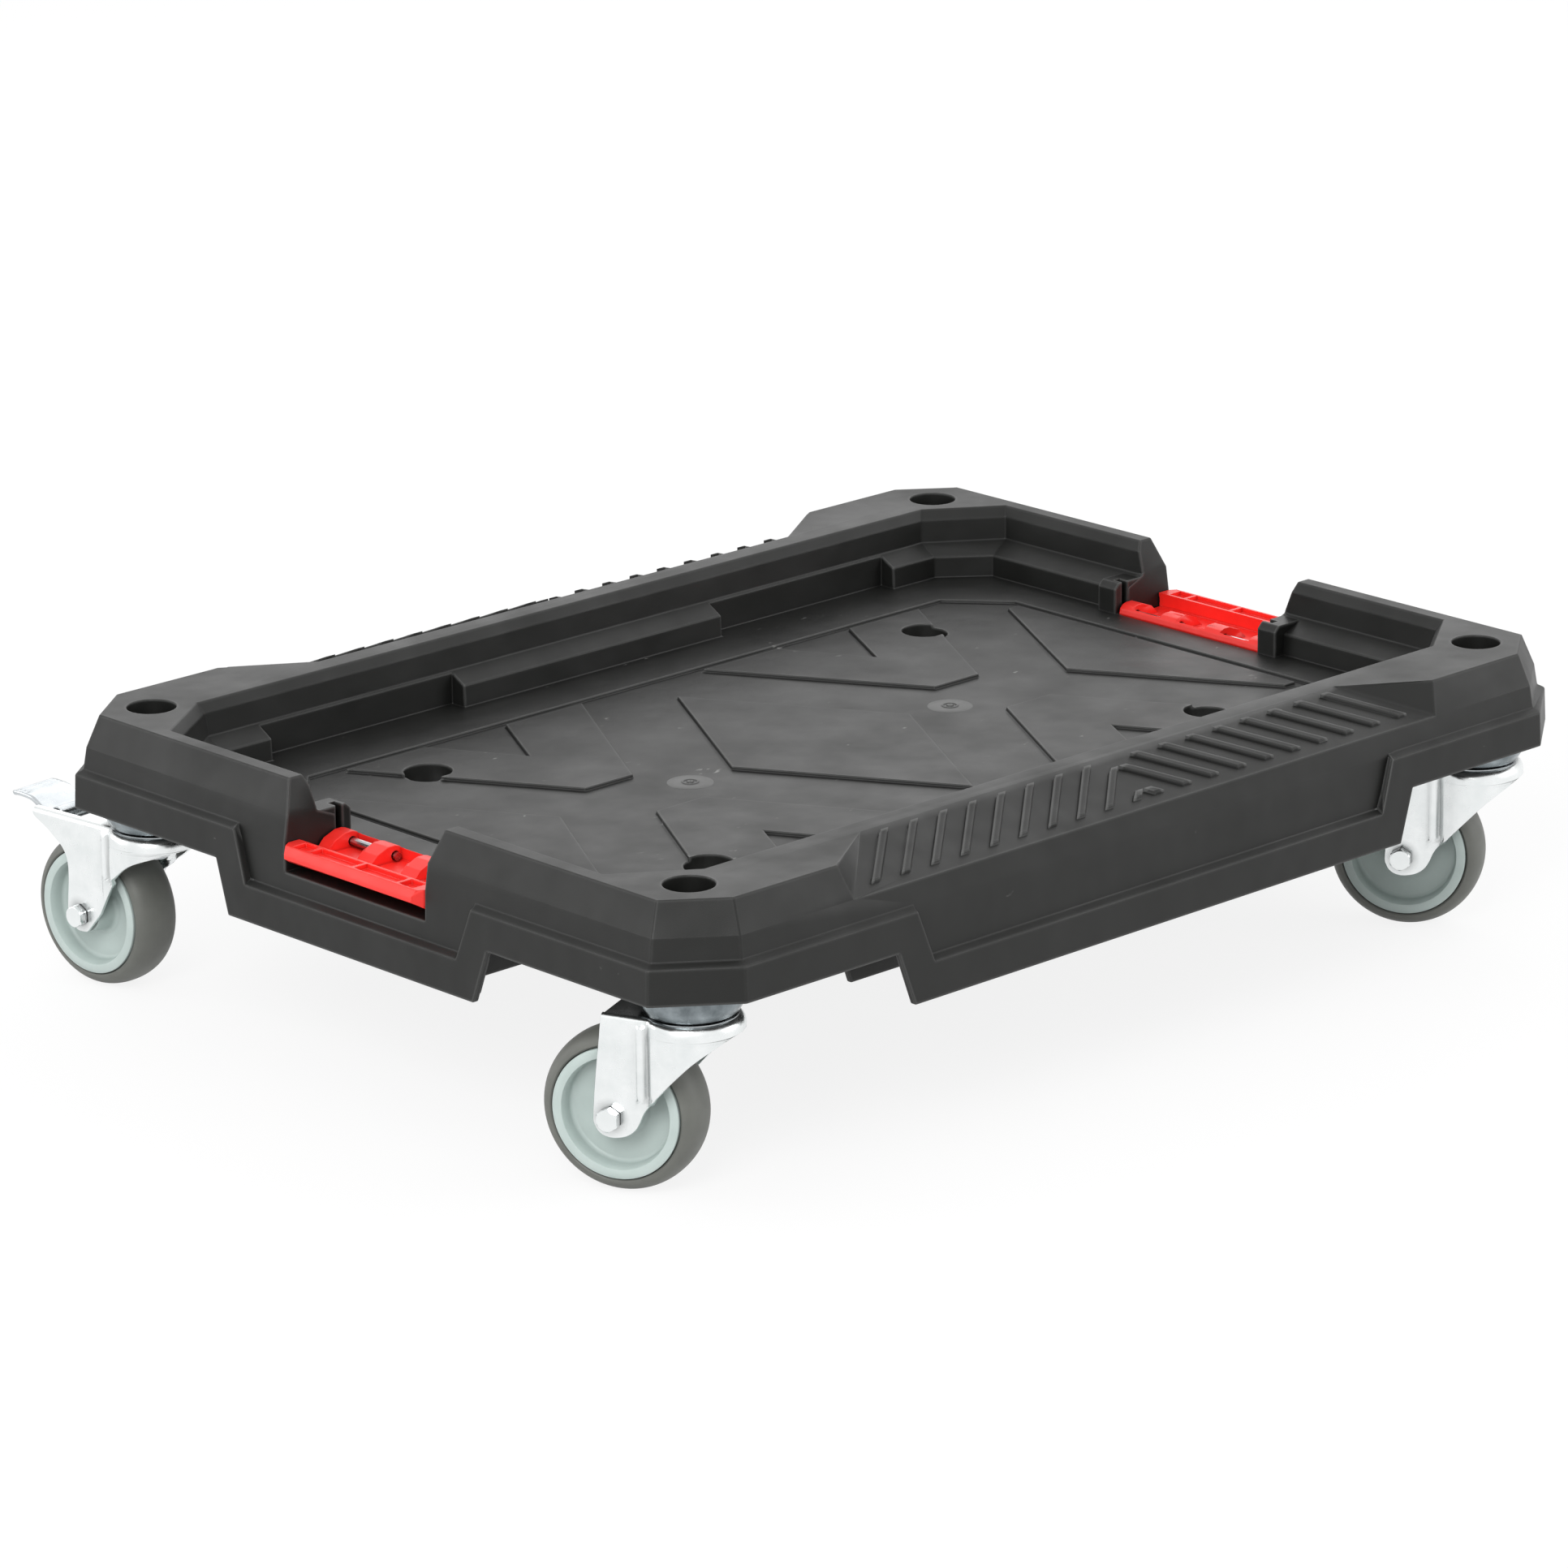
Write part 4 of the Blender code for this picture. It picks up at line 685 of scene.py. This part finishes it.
class ForkSheet:
    """The pressed fork: one bent plate, round in front and straight along the wheel."""
    CROWN_R = 0.0250
    BEND = 0.0026
    FRONT_BEND = 0.0052
    LEVEL = 0.0076
    BEAD_U = 0.0162
    BEAD_HALF = 0.0031
    BEAD_PROUD = 0.0016
    BEAD_FOOT = 0.0575
    BEAD_FLANK = 0.62
    FADE_TOP = 0.0020
    FADE_FOOT = 0.0060
    FADE_LEAD = 0.0050
    ROUND_STEPS = 24
    ROUND_TURN = 112
    EASE_STEPS = 8
    EASE_PULL = 1.2
    STRAIGHT_U = 0.0140
    PLAN_END_U = 0.0900
    TIGHT_U = 0.0110
    TIGHTEN = 0.0120
    BEND_STEPS = 5
    LEVEL_STEPS = 6
    LEG_STEPS = 28
    END_STEPS = 10
    FRONT_STEPS = 18
    BEAD_STEPS = 10
    REAR_STEPS = 12
    REAR_EDGE_STEPS = 8
    CROWN_REAR = 0.0355
    KING_R = 0.0091
    FLANGE = 0.0016

    def __init__(self, braked):
        self.braked = braked
        self.trail = 0.0360 if braked else 0.0320
        self.end = 0.0083 if braked else 0.0093
        self.thick = FORK_OUT - FORK_IN
        self.plan = self.plan_curve()
        self.lengths = [0.0]
        for a, b in zip(self.plan, self.plan[1:]):
            self.lengths.append(self.lengths[-1] + (b - a).length)
        self.middle = self.length_at(self.BEAD_U)
        self.bm = bmesh.new()
        self.inner = self.bm.verts.layers.float_vector.new("inner")

    def plan_curve(self):
        """Plan of the outer face, from the front tip round to the rear."""
        steps = self.ROUND_STEPS
        angles = [math.radians(180 - self.ROUND_TURN * k / steps) for k in range(steps + 1)]
        points = [Vector((self.CROWN_R * math.cos(a), self.CROWN_R * math.sin(a))) for a in angles]
        start = points[-1]
        end = Vector((self.STRAIGHT_U, FORK_OUT))
        pull = (end - start).length * self.EASE_PULL
        slope = Vector((math.sin(angles[-1]), -math.cos(angles[-1]))) * pull
        for k in range(1, self.EASE_STEPS + 1):
            t = k / self.EASE_STEPS
            blend = 3 * t ** 2 - 2 * t ** 3
            leave = t ** 3 - 2 * t ** 2 + t
            arrive = t ** 3 - t ** 2
            points.append(start.lerp(end, blend) + slope * leave + Vector((pull, 0.0)) * arrive)
        points.append(Vector((self.PLAN_END_U, FORK_OUT)))
        return points

    def at(self, s):
        """Point and outward normal of the plan at a length along it."""
        last = len(self.plan) - 2
        i = 0
        while i < last and s > self.lengths[i + 1]:
            i += 1
        a, b = self.plan[i], self.plan[i + 1]
        t = (s - self.lengths[i]) / (self.lengths[i + 1] - self.lengths[i])
        point = a.lerp(b, t)
        if point.x < self.plan[self.ROUND_STEPS].x:
            return point, point.normalized()
        along = (b - a).normalized()
        return point, Vector((-along.y, along.x))

    def length_at(self, u):
        for i in range(len(self.plan) - 1):
            a, b = self.plan[i], self.plan[i + 1]
            if a.x <= u <= b.x:
                return self.lengths[i] + (self.lengths[i + 1] - self.lengths[i]) * (u - a.x) / (b.x - a.x)
        return 0.0

    def edges(self):
        """Front and rear edges of a leg as (u, w) lines that fall from the crown to the axle end."""
        if self.braked:
            lead = [(-0.0422, 0.0353), (-0.0305, 0.0270), (-0.0246, 0.0225), (-0.0190, 0.0130)]
            lead += [(-0.0150, 0.0056), (-0.0132, 0.0024), (-0.0086, -0.0028), (-0.0045, -0.0074)]
            lead += [(-0.0032, -0.0081), (0.0, -0.0083)]
            rear = [(0.0663, CROWN_TOP), (0.0660, -0.0176), (0.0575, -0.0222), (0.0520, -0.0262)]
            rear += [(0.0468, -0.0302), (0.0436, -0.0360), (0.0430, -0.0450)]
            end = [(0.0083, 0.0030), (0.0082, -0.0026), (0.0076, -0.0036)]
            end += [(0.0030, -0.0074), (0.0018, -0.0081), (0.0, -0.0083)]
        else:
            lead = [(-0.0434, 0.0332), (-0.0354, 0.0256), (-0.0282, 0.0181), (-0.0200, 0.0092)]
            lead += [(-0.0162, 0.0040), (-0.0141, -0.0008), (-0.0117, -0.0048), (-0.0080, -0.0076)]
            lead += [(-0.0036, -0.0090), (0.0, -0.0093)]
            rear = [(0.0357, CROWN_TOP), (0.0365, -0.0220), (0.0390, -0.0450)]
            end = [(0.0083, 0.0000), (0.0078, -0.0036), (0.0062, -0.0066), (0.0034, -0.0086), (0.0, -0.0093)]
        front = [(-0.0252, CROWN_TOP - 0.0070), (-0.0228, CROWN_TOP - 0.0080)]
        front += [(self.trail + u, w - AXLE_DROP) for u, w in lead]
        rear += [(self.trail + u, w - AXLE_DROP) for u, w in end]
        return smooth_line(front, 6), smooth_line(rear, 6)

    @staticmethod
    def edge_at(line, w):
        """The u of an edge line at a height."""
        if w >= line[0].y:
            return line[0].x
        for a, b in zip(line, line[1:]):
            if b.y <= w <= a.y and a.y > b.y:
                return a.x + (b.x - a.x) * (a.y - w) / (a.y - b.y)
        return line[-1].x

    def bead(self, s, w, lead):
        """How far the bead stands out of the plate."""
        x = abs(s - self.middle) / self.BEAD_HALF
        if x >= 1:
            return 0.0
        top = min(max((CROWN_TOP - self.BEND - w) / self.FADE_TOP, 0.0), 1.0)
        end = min(max((w + self.BEAD_FOOT) / self.FADE_FOOT, 0.0), 1.0)
        side = min((1 - x) / self.BEAD_FLANK, max(s - lead, 0.0) / self.FADE_LEAD, 1.0)
        return self.BEAD_PROUD * side * side * (3 - 2 * side) * top * end

    def bend(self, s):
        """Radius of the bend under the crown: wide in front, tight along the cheeks."""
        share = min(max((self.length_at(self.TIGHT_U) - s) / self.TIGHTEN, 0.0), 1.0)
        return self.BEND + (self.FRONT_BEND - self.BEND) * share * share * (3 - 2 * share)

    def heights(self):
        start = CROWN_TOP - self.LEVEL
        steps = self.LEVEL_STEPS
        rows = [CROWN_TOP - self.BEND + (self.BEND - self.LEVEL) * k / steps for k in range(steps + 1)]
        steps = self.LEG_STEPS
        rows += [start + (-AXLE_DROP - start) * k / steps for k in range(1, steps + 1)]
        turns = [math.radians(90.0 / self.END_STEPS * k) for k in range(1, self.END_STEPS + 1)]
        return rows + [-AXLE_DROP - self.end * math.sin(turn) for turn in turns]

    def columns(self, w, front, rear):
        """Lengths along the plan of one row: to the bead, over it and on to the rear."""
        s0 = self.length_at(self.edge_at(front, w))
        s3 = self.length_at(self.edge_at(rear, w))
        least = 0.15 * (s3 - s0)
        s1 = min(max(self.middle - self.BEAD_HALF, s0 + least), s3 - 2 * least)
        s2 = min(max(self.middle + self.BEAD_HALF, s1 + least), s3 - least)
        row = [s0 + (s1 - s0) * k / self.FRONT_STEPS for k in range(self.FRONT_STEPS)]
        row += [s1 + (s2 - s1) * k / self.BEAD_STEPS for k in range(self.BEAD_STEPS)]
        return row + [s2 + (s3 - s2) * k / self.REAR_STEPS for k in range(self.REAR_STEPS + 1)]

    def vert(self, place, normal):
        """A vertex of the outer face, with its twin on the inner face."""
        v = self.bm.verts.new(place)
        v[self.inner] = Vector(place) - normal * self.thick
        return v

    def leg(self, side, front, rear):
        """One cheek with the bend at its top. Gives the line where the bend meets the crown."""
        rows = self.heights()
        sheet = []
        for k in range(self.BEND_STEPS, 0, -1):
            angle = math.radians(90.0 / self.BEND_STEPS * k)
            line = []
            for s in self.columns(rows[0], front, rear):
                point, out = self.at(s)
                radius = self.bend(s)
                point = point - out * radius * (1 - math.cos(angle))
                normal = Vector((out.x * math.cos(angle), side * out.y * math.cos(angle), math.sin(angle)))
                height = CROWN_TOP - radius * (1 - math.sin(angle))
                line.append(self.vert((point.x, side * point.y, height), normal))
            sheet.append(line)
        for k, w in enumerate(rows):
            line = []
            columns = self.columns(w, front, rear)
            for s in columns:
                point, out = self.at(s)
                point = point + out * self.bead(s, w, columns[0])
                if k < self.LEVEL_STEPS:
                    w = CROWN_TOP - self.bend(s) + (self.bend(s) - self.LEVEL) * k / self.LEVEL_STEPS
                line.append(self.vert((point.x, side * point.y, w), Vector((out.x, side * out.y, 0.0))))
            sheet.append(line)
        for upper, lower in zip(sheet, sheet[1:]):
            for i in range(len(upper) - 1):
                self.bm.faces.new((upper[i], lower[i], lower[i + 1], upper[i + 1]))
        return sheet[0]

    def crown(self, tops):
        """The flat top of the fork with the hole for the king bush, and the flanges of the wings."""
        up = Vector((0.0, 0.0, 1.0))
        lines = {}
        ends = {}
        for side, top in tops.items():
            kept = [v for v in top if v.co.x <= self.CROWN_REAR]
            flange = top[len(kept) - 1:]
            lines[side] = kept
            ends[side] = []
            if self.braked:
                lip = [self.vert((v.co.x, v.co.y - side * self.FLANGE, v.co.z), up) for v in flange]
                for i in range(len(flange) - 1):
                    self.bm.faces.new((flange[i], flange[i + 1], lip[i + 1], lip[i]))
                ends[side] = [lip[0]]
        loop = list(reversed(lines[1])) + lines[-1] + ends[-1]
        first = (ends[1] or lines[1][-1:])[0]
        last = loop[-1]
        steps = self.REAR_EDGE_STEPS
        loop += [self.vert(last.co.lerp(first.co, k / steps), up) for k in range(1, steps)] + ends[1]
        king = []
        for v in loop:
            flat = Vector((v.co.x, v.co.y, 0.0)).normalized() * self.KING_R
            king.append(self.vert((flat.x, flat.y, CROWN_TOP), up))
        for i in range(len(loop)):
            j = (i + 1) % len(loop)
            if (loop[i].co - loop[j].co).length > 1e-6:
                self.bm.faces.new((loop[i], loop[j], king[j], king[i]))

    def build(self):
        front, rear = self.edges()
        self.crown({side: self.leg(side, front, rear) for side in (1, -1)})
        shell(self.bm, self.inner)
        return self.bm


def build_fork(corner, seat):
    name = "fork_" + corner
    mesh = to_mesh(ForkSheet(corner in BRAKED).build(), name + "_plate")
    smooth(mesh, SHEET_SHADE)
    make_piece(name + "_plate", mesh, seat, FORK_ZINC, name, name, False)
    collar = to_mesh(revolve(COLLAR_PROFILE, CUP_SIDES), name + "_race")
    smooth(collar, RACE_SHADE)
    make_piece(name + "_race", collar, seat, ZINC, name, name, False)


def build_wheel(corner, axle):
    body = "wheel_" + corner
    hub = to_mesh(revolve(hub_profile(), HUB_SIDES, axis="Y"), "hub_" + corner + "_moulding")
    smooth(hub, WHEEL_SHADE)
    make_piece("hub_" + corner + "_moulding", hub, axle, HUB, body, "hub_" + corner, False)
    tyre = to_mesh(revolve(tyre_profile(), TYRE_SIDES, axis="Y"), "tyre_" + corner + "_tread")
    smooth(tyre, WHEEL_SHADE)
    make_piece("tyre_" + corner + "_tread", tyre, axle, TYRE, body, "tyre_" + corner, False)


def build_cup(corner, seat):
    cup = to_mesh(revolve(CUP_PROFILE, CUP_SIDES), "cup_" + corner + "_pressing")
    smooth(cup, RING_SHADE)
    name = "cup_" + corner
    # The cup gets the darkened zinc, painted shade
    make_piece(name + "_pressing", cup, seat, SHADED_CUP_ZINC, "tray", name, False)


def hexagon(flats, stations):
    """A chamfered hexagon along Y: each station has a height and the radius that its corners are cut to."""
    bm = bmesh.new()
    sides = 48
    flat = flats / 2
    rings = []
    for height, limit in stations:
        ring = []
        for k in range(sides):
            angle = 2 * math.pi * (k + 0.5) / sides
            away = abs((angle + math.pi / 6) % (math.pi / 3) - math.pi / 6)
            reach = min(flat / math.cos(away), limit)
            ring.append(bm.verts.new((reach * math.cos(angle), height, reach * math.sin(angle))))
        rings.append(ring)
    for low, high in zip(rings, rings[1:]):
        for k in range(sides):
            j = (k + 1) % sides
            bm.faces.new((low[k], low[j], high[j], high[k]))
    bm.faces.new(rings[0])
    bm.faces.new(list(reversed(rings[-1])))
    bmesh.ops.recalc_face_normals(bm, faces=bm.faces)
    return bm


HEAD_FLATS = 0.0100
HEAD_GAP = 0.0003
HEAD_SHADE = 22
SHANK_R = 0.0030


def build_axle(corner, axle):
    """Axle bolt with its grooved head, and the nut at the other end."""
    body = "fork_" + corner
    foot = FORK_OUT + HEAD_GAP
    corner_r = HEAD_FLATS / 2 / math.cos(math.pi / 6)
    stations = [(-FORK_OUT - 0.0060, 0.0026), (-FORK_OUT - 0.0055, SHANK_R), (foot, SHANK_R), (foot, 0.0052),
                (foot + 0.0003, corner_r), (foot + 0.0016, corner_r), (foot + 0.0018, 0.0049),
                (foot + 0.0020, 0.0049), (foot + 0.0022, corner_r), (foot + 0.0038, corner_r),
                (foot + 0.0043, 0.0051), (foot + 0.0045, 0.0046)]
    name = "axle_bolt_" + corner
    bolt = to_mesh(hexagon(HEAD_FLATS, stations), name + "_head")
    smooth(bolt, HEAD_SHADE)
    make_piece(name + "_head", bolt, axle, BOLT_ZINC, body, name, False)
    top = -FORK_OUT - HEAD_GAP
    stations = [(top - 0.0050, 0.0034), (top - 0.0050, 0.0050), (top - 0.0045, corner_r),
                (top - 0.0006, corner_r), (top, 0.0052), (top, 0.0034)]
    name = "axle_nut_" + corner
    nut = to_mesh(hexagon(HEAD_FLATS, stations), name + "_hex")
    smooth(nut, HEAD_SHADE)
    make_piece(name + "_hex", nut, axle, BOLT_ZINC, body, name, False)


PEDAL_TOP = [(0.0036, 0.0010), (0.0085, 0.0012), (0.0110, 0.0022), (0.0155, 0.0050), (0.0190, 0.0063),
             (0.0260, 0.0069), (0.0310, 0.0065), (0.0336, 0.0047)]
PEDAL_HALF = 0.0130
PEDAL_THICK = 0.0021
PEDAL_CORNER = 0.0040
PEDAL_RIDGES = (0.0225, 0.0255, 0.0285)
RIDGE_HALF = 0.0008
RIDGE_RISE = 0.0005
RIDGE_MARGIN = 0.0025
KNUCKLE_GAP = 0.0004


def build_pedal(corner):
    """The brake pedal: a bent strip with three fine ridges, and the knuckle round its pin."""
    joint = joint_named("brake_" + corner)
    across = Vector(joint["axis"]).normalized()
    up = Vector((0.0, 0.0, 1.0))
    turn = Matrix((across.cross(up), across, up)).transposed().to_4x4()
    place = Matrix.Translation(joint["pos_m"]) @ turn
    line = smooth_line(PEDAL_TOP, 14)
    tip = line[-1].x
    columns = 20
    bm = bmesh.new()
    inner = bm.verts.layers.float_vector.new("inner")
    rows = []
    for i, point in enumerate(line):
        along = (line[min(i + 1, len(line) - 1)] - line[max(i - 1, 0)]).normalized()
        normal = Vector((-along.y, along.x))
        ridge = sum(max(0.0, 1 - ((point.x - x) / RIDGE_HALF) ** 2) for x in PEDAL_RIDGES)
        left = max(0.0, 1 - (tip - point.x) / PEDAL_CORNER)
        reach = PEDAL_HALF - PEDAL_CORNER * (1 - math.sqrt(1 - left * left))
        row = []
        for k in range(columns + 1):
            v = reach * (2 * k / columns - 1)
            lift = RIDGE_RISE * ridge if abs(v) < PEDAL_HALF - RIDGE_MARGIN else 0.0
            outer = point + normal * lift
            under = point - normal * PEDAL_THICK
            vert = bm.verts.new((outer.x, v, outer.y))
            vert[inner] = (under.x, v, under.y)
            row.append(vert)
        rows.append(row)
    for low, high in zip(rows, rows[1:]):
        for k in range(columns):
            bm.faces.new((low[k], low[k + 1], high[k + 1], high[k]))
    shell(bm, inner)
    name = "pedal_" + corner
    mesh = to_mesh(bm, name + "_plate")
    smooth(mesh, SHEET_SHADE)
    make_piece(name + "_plate", mesh, place, PEDAL_ZINC, name, name, False)
    edge = PEDAL_HALF + KNUCKLE_GAP
    ring = [(0.0024, -edge), (0.0038, -edge), (0.0042, KNUCKLE_GAP - edge), (0.0042, edge - KNUCKLE_GAP),
            (0.0038, edge), (0.0024, edge)]
    knuckle = to_mesh(revolve(ring, KNUCKLE_SIDES, axis="Y"), name + "_knuckle")
    smooth(knuckle, RING_SHADE)
    make_piece(name + "_knuckle", knuckle, place, ZINC, name, name, False)


def soften(node, body, mat, width):
    """A node with its sharp edges rounded."""
    bm = welded(node)
    mesh = rounded_mesh(bm, node + "_soft", width, SOFT_ANGLE)
    smooth(mesh, RING_SHADE)
    make_piece(node + "_soft", mesh, Matrix.Identity(4), mat, body, node)


def build_casters():
    for corner in CORNERS:
        seat, axle = caster_frames(corner)
        build_cup(corner, seat)
        build_fork(corner, seat)
        build_wheel(corner, axle)
        build_axle(corner, axle)
        for node in ("mount_bolt_", "mount_nut_", "king_bush_"):
            soften(node + corner, "tray", ZINC, BOLT_ROUND)
        if corner in BRAKED:
            build_pedal(corner)
            soften("pedal_pin_" + corner, "fork_" + corner, ZINC, PIN_ROUND)
            soften("brake_shoe_" + corner, "fork_" + corner, FORK_ZINC, PIN_ROUND)


build_tray()
build_gates()
build_posts()
build_latches()
build_casters()

for name, obj in frame["nodes"].items():
    slot = [s["material_slot"] for s in frame["record"]["subparts"] if s["node"] == name][0]
    obj.data.materials.clear()
    obj.data.materials.append(SLOT_LOOKS[slot])


# Studio: the sky lights the object less from the horizon than from above
SKY_LOW = 0.38
SKY_HIGH = 0.72


def level_for(nodes, links, kind, other, level):
    """One value for rays of a kind and another for the rest. Each is a number or a socket."""
    node = nodes.new("ShaderNodeMapRange")
    links.new(kind, node.inputs["Value"])
    for name, value in (("To Min", other), ("To Max", level)):
        if isinstance(value, float):
            node.inputs[name].default_value = value
        else:
            links.new(value, node.inputs[name])
    return node.outputs["Result"]


def seen_ray(nodes, links):
    """1 for rays that show the background: from the camera, off a gloss or through glass."""
    path = nodes.new("ShaderNodeLightPath")
    direct = math_of(nodes, links, "MAXIMUM", path.outputs["Is Camera Ray"], path.outputs["Is Glossy Ray"])
    return math_of(nodes, links, "MAXIMUM", direct, path.outputs["Is Transmission Ray"])


FLOOR_HALF = 12.0
FLOOR_GLOW = 0.80
FLOOR_LEVEL = 1.07
FLOOR_TONE = (0.80, 0.80, 0.80, 1.0)


def build_floor():
    """A pale floor. Seen directly or in a reflection it is near white, but it keeps the shadow."""
    bm = bmesh.new()
    plan = ((-1, -1), (1, -1), (1, 1), (-1, 1))
    bm.faces.new([bm.verts.new((x * FLOOR_HALF, y * FLOOR_HALF, GROUND_Z)) for x, y in plan])
    floor = bpy.data.objects.new("studio_floor", to_mesh(bm, "studio_floor"))
    bpy.context.scene.collection.objects.link(floor)
    mat, nodes, links, shader = nodes_of("studio_floor")
    shader.inputs["Base Color"].default_value = FLOOR_TONE
    shader.inputs["Roughness"].default_value = 0.9
    shader.inputs["Specular IOR Level"].default_value = 0.0
    glow = nodes.new("ShaderNodeEmission")
    glow.inputs["Strength"].default_value = FLOOR_LEVEL
    mix = nodes.new("ShaderNodeMixShader")
    links.new(spread(nodes, links, seen_ray(nodes, links), 0.0, FLOOR_GLOW, 0.0, 1.0), mix.inputs["Fac"])
    links.new(shader.outputs[0], mix.inputs[1])
    links.new(glow.outputs[0], mix.inputs[2])
    links.new(mix.outputs[0], nodes["Material Output"].inputs["Surface"])
    floor.data.materials.append(mat)


def build_world():
    """A sky that dims toward the horizon as it lights the object, and is white where it is seen."""
    world = bpy.data.worlds.new("studio")
    bpy.context.scene.world = world
    world.use_nodes = True
    nodes = world.node_tree.nodes
    links = world.node_tree.links
    back = nodes["Background"]
    back.inputs["Color"].default_value = (1.0, 1.0, 1.0, 1.0)
    split = nodes.new("ShaderNodeSeparateXYZ")
    links.new(nodes.new("ShaderNodeTexCoord").outputs["Generated"], split.inputs[0])
    sky = spread(nodes, links, split.outputs["Z"], SKY_LOW, SKY_HIGH, 0.0, 1.0)
    links.new(level_for(nodes, links, seen_ray(nodes, links), sky, 1.0), back.inputs["Strength"])


# Lamps: name, place, target, size and power
MIDDLE = (0.0, 0.0, 0.0)
LIGHTS = [("key", (-2.2, -1.3, 1.6), (0.0, 0.0, -0.05), (1.4, 1.4), 44.0),
          ("right", (1.65, 0.2, 1.6), MIDDLE, (2.2, 1.4), 6.0),
          ("left", (-1.55, 1.6, 0.62), MIDDLE, (1.4, 1.0), 7.0),
          ("back", (1.7, 1.8, 1.3), MIDDLE, (2.6, 1.6), 10.0),
          ("low", (1.7, -1.85, 0.72), MIDDLE, (1.4, 1.0), 11.0)]


def add_light(name, place, target, size, power):
    data = bpy.data.lights.new(name, "AREA")
    data.shape = "RECTANGLE"
    data.size = size[0]
    data.size_y = size[1]
    data.energy = power
    lamp = bpy.data.objects.new(name, data)
    bpy.context.scene.collection.objects.link(lamp)
    lamp.location = place
    lamp.rotation_euler = (Vector(target) - Vector(place)).to_track_quat("-Z", "Y").to_euler()


# The camera fitted to the photo: its angles in degrees, and how far it sees the middle of the rim's top
# to the right, up and ahead, in units of the caster's distance from the middle
CAMERA_YAW = 43.393
CAMERA_PITCH = 17.681
CAMERA_ROLL = -0.566
CAMERA_LENS = 158.79
CAMERA_OFFSET = (0.06957, 0.20311, 12.7384)
CAMERA_UNIT = 0.266
RIM_TOP = 0.034


def build_camera():
    yaw = math.radians(CAMERA_YAW)
    pitch = math.radians(CAMERA_PITCH)
    roll = math.radians(CAMERA_ROLL)
    ahead = Vector((math.sin(yaw) * math.cos(pitch), math.cos(yaw) * math.cos(pitch), -math.sin(pitch)))
    right = Vector((math.cos(yaw), -math.sin(yaw), 0.0))
    up = right.cross(ahead)
    right_rolled = math.cos(roll) * right + math.sin(roll) * up
    up_rolled = -math.sin(roll) * right + math.cos(roll) * up
    aside, above, away = CAMERA_OFFSET
    offset = (aside * right_rolled + above * up_rolled + away * ahead) * CAMERA_UNIT
    eye = -offset + Vector((0.0, 0.0, RIM_TOP))
    data = bpy.data.cameras.new("camera")
    data.sensor_width = 36.0
    data.lens = CAMERA_LENS
    data.clip_end = 50.0
    camera = bpy.data.objects.new("camera", data)
    bpy.context.scene.collection.objects.link(camera)
    turn = Matrix((right_rolled, up_rolled, -ahead)).transposed().to_4x4()
    camera.matrix_world = Matrix.Translation(eye) @ turn
    bpy.context.scene.camera = camera


build_floor()
build_world()
for light in LIGHTS:
    add_light(*light)
build_camera()
bpy.context.scene.view_settings.view_transform = "Standard"
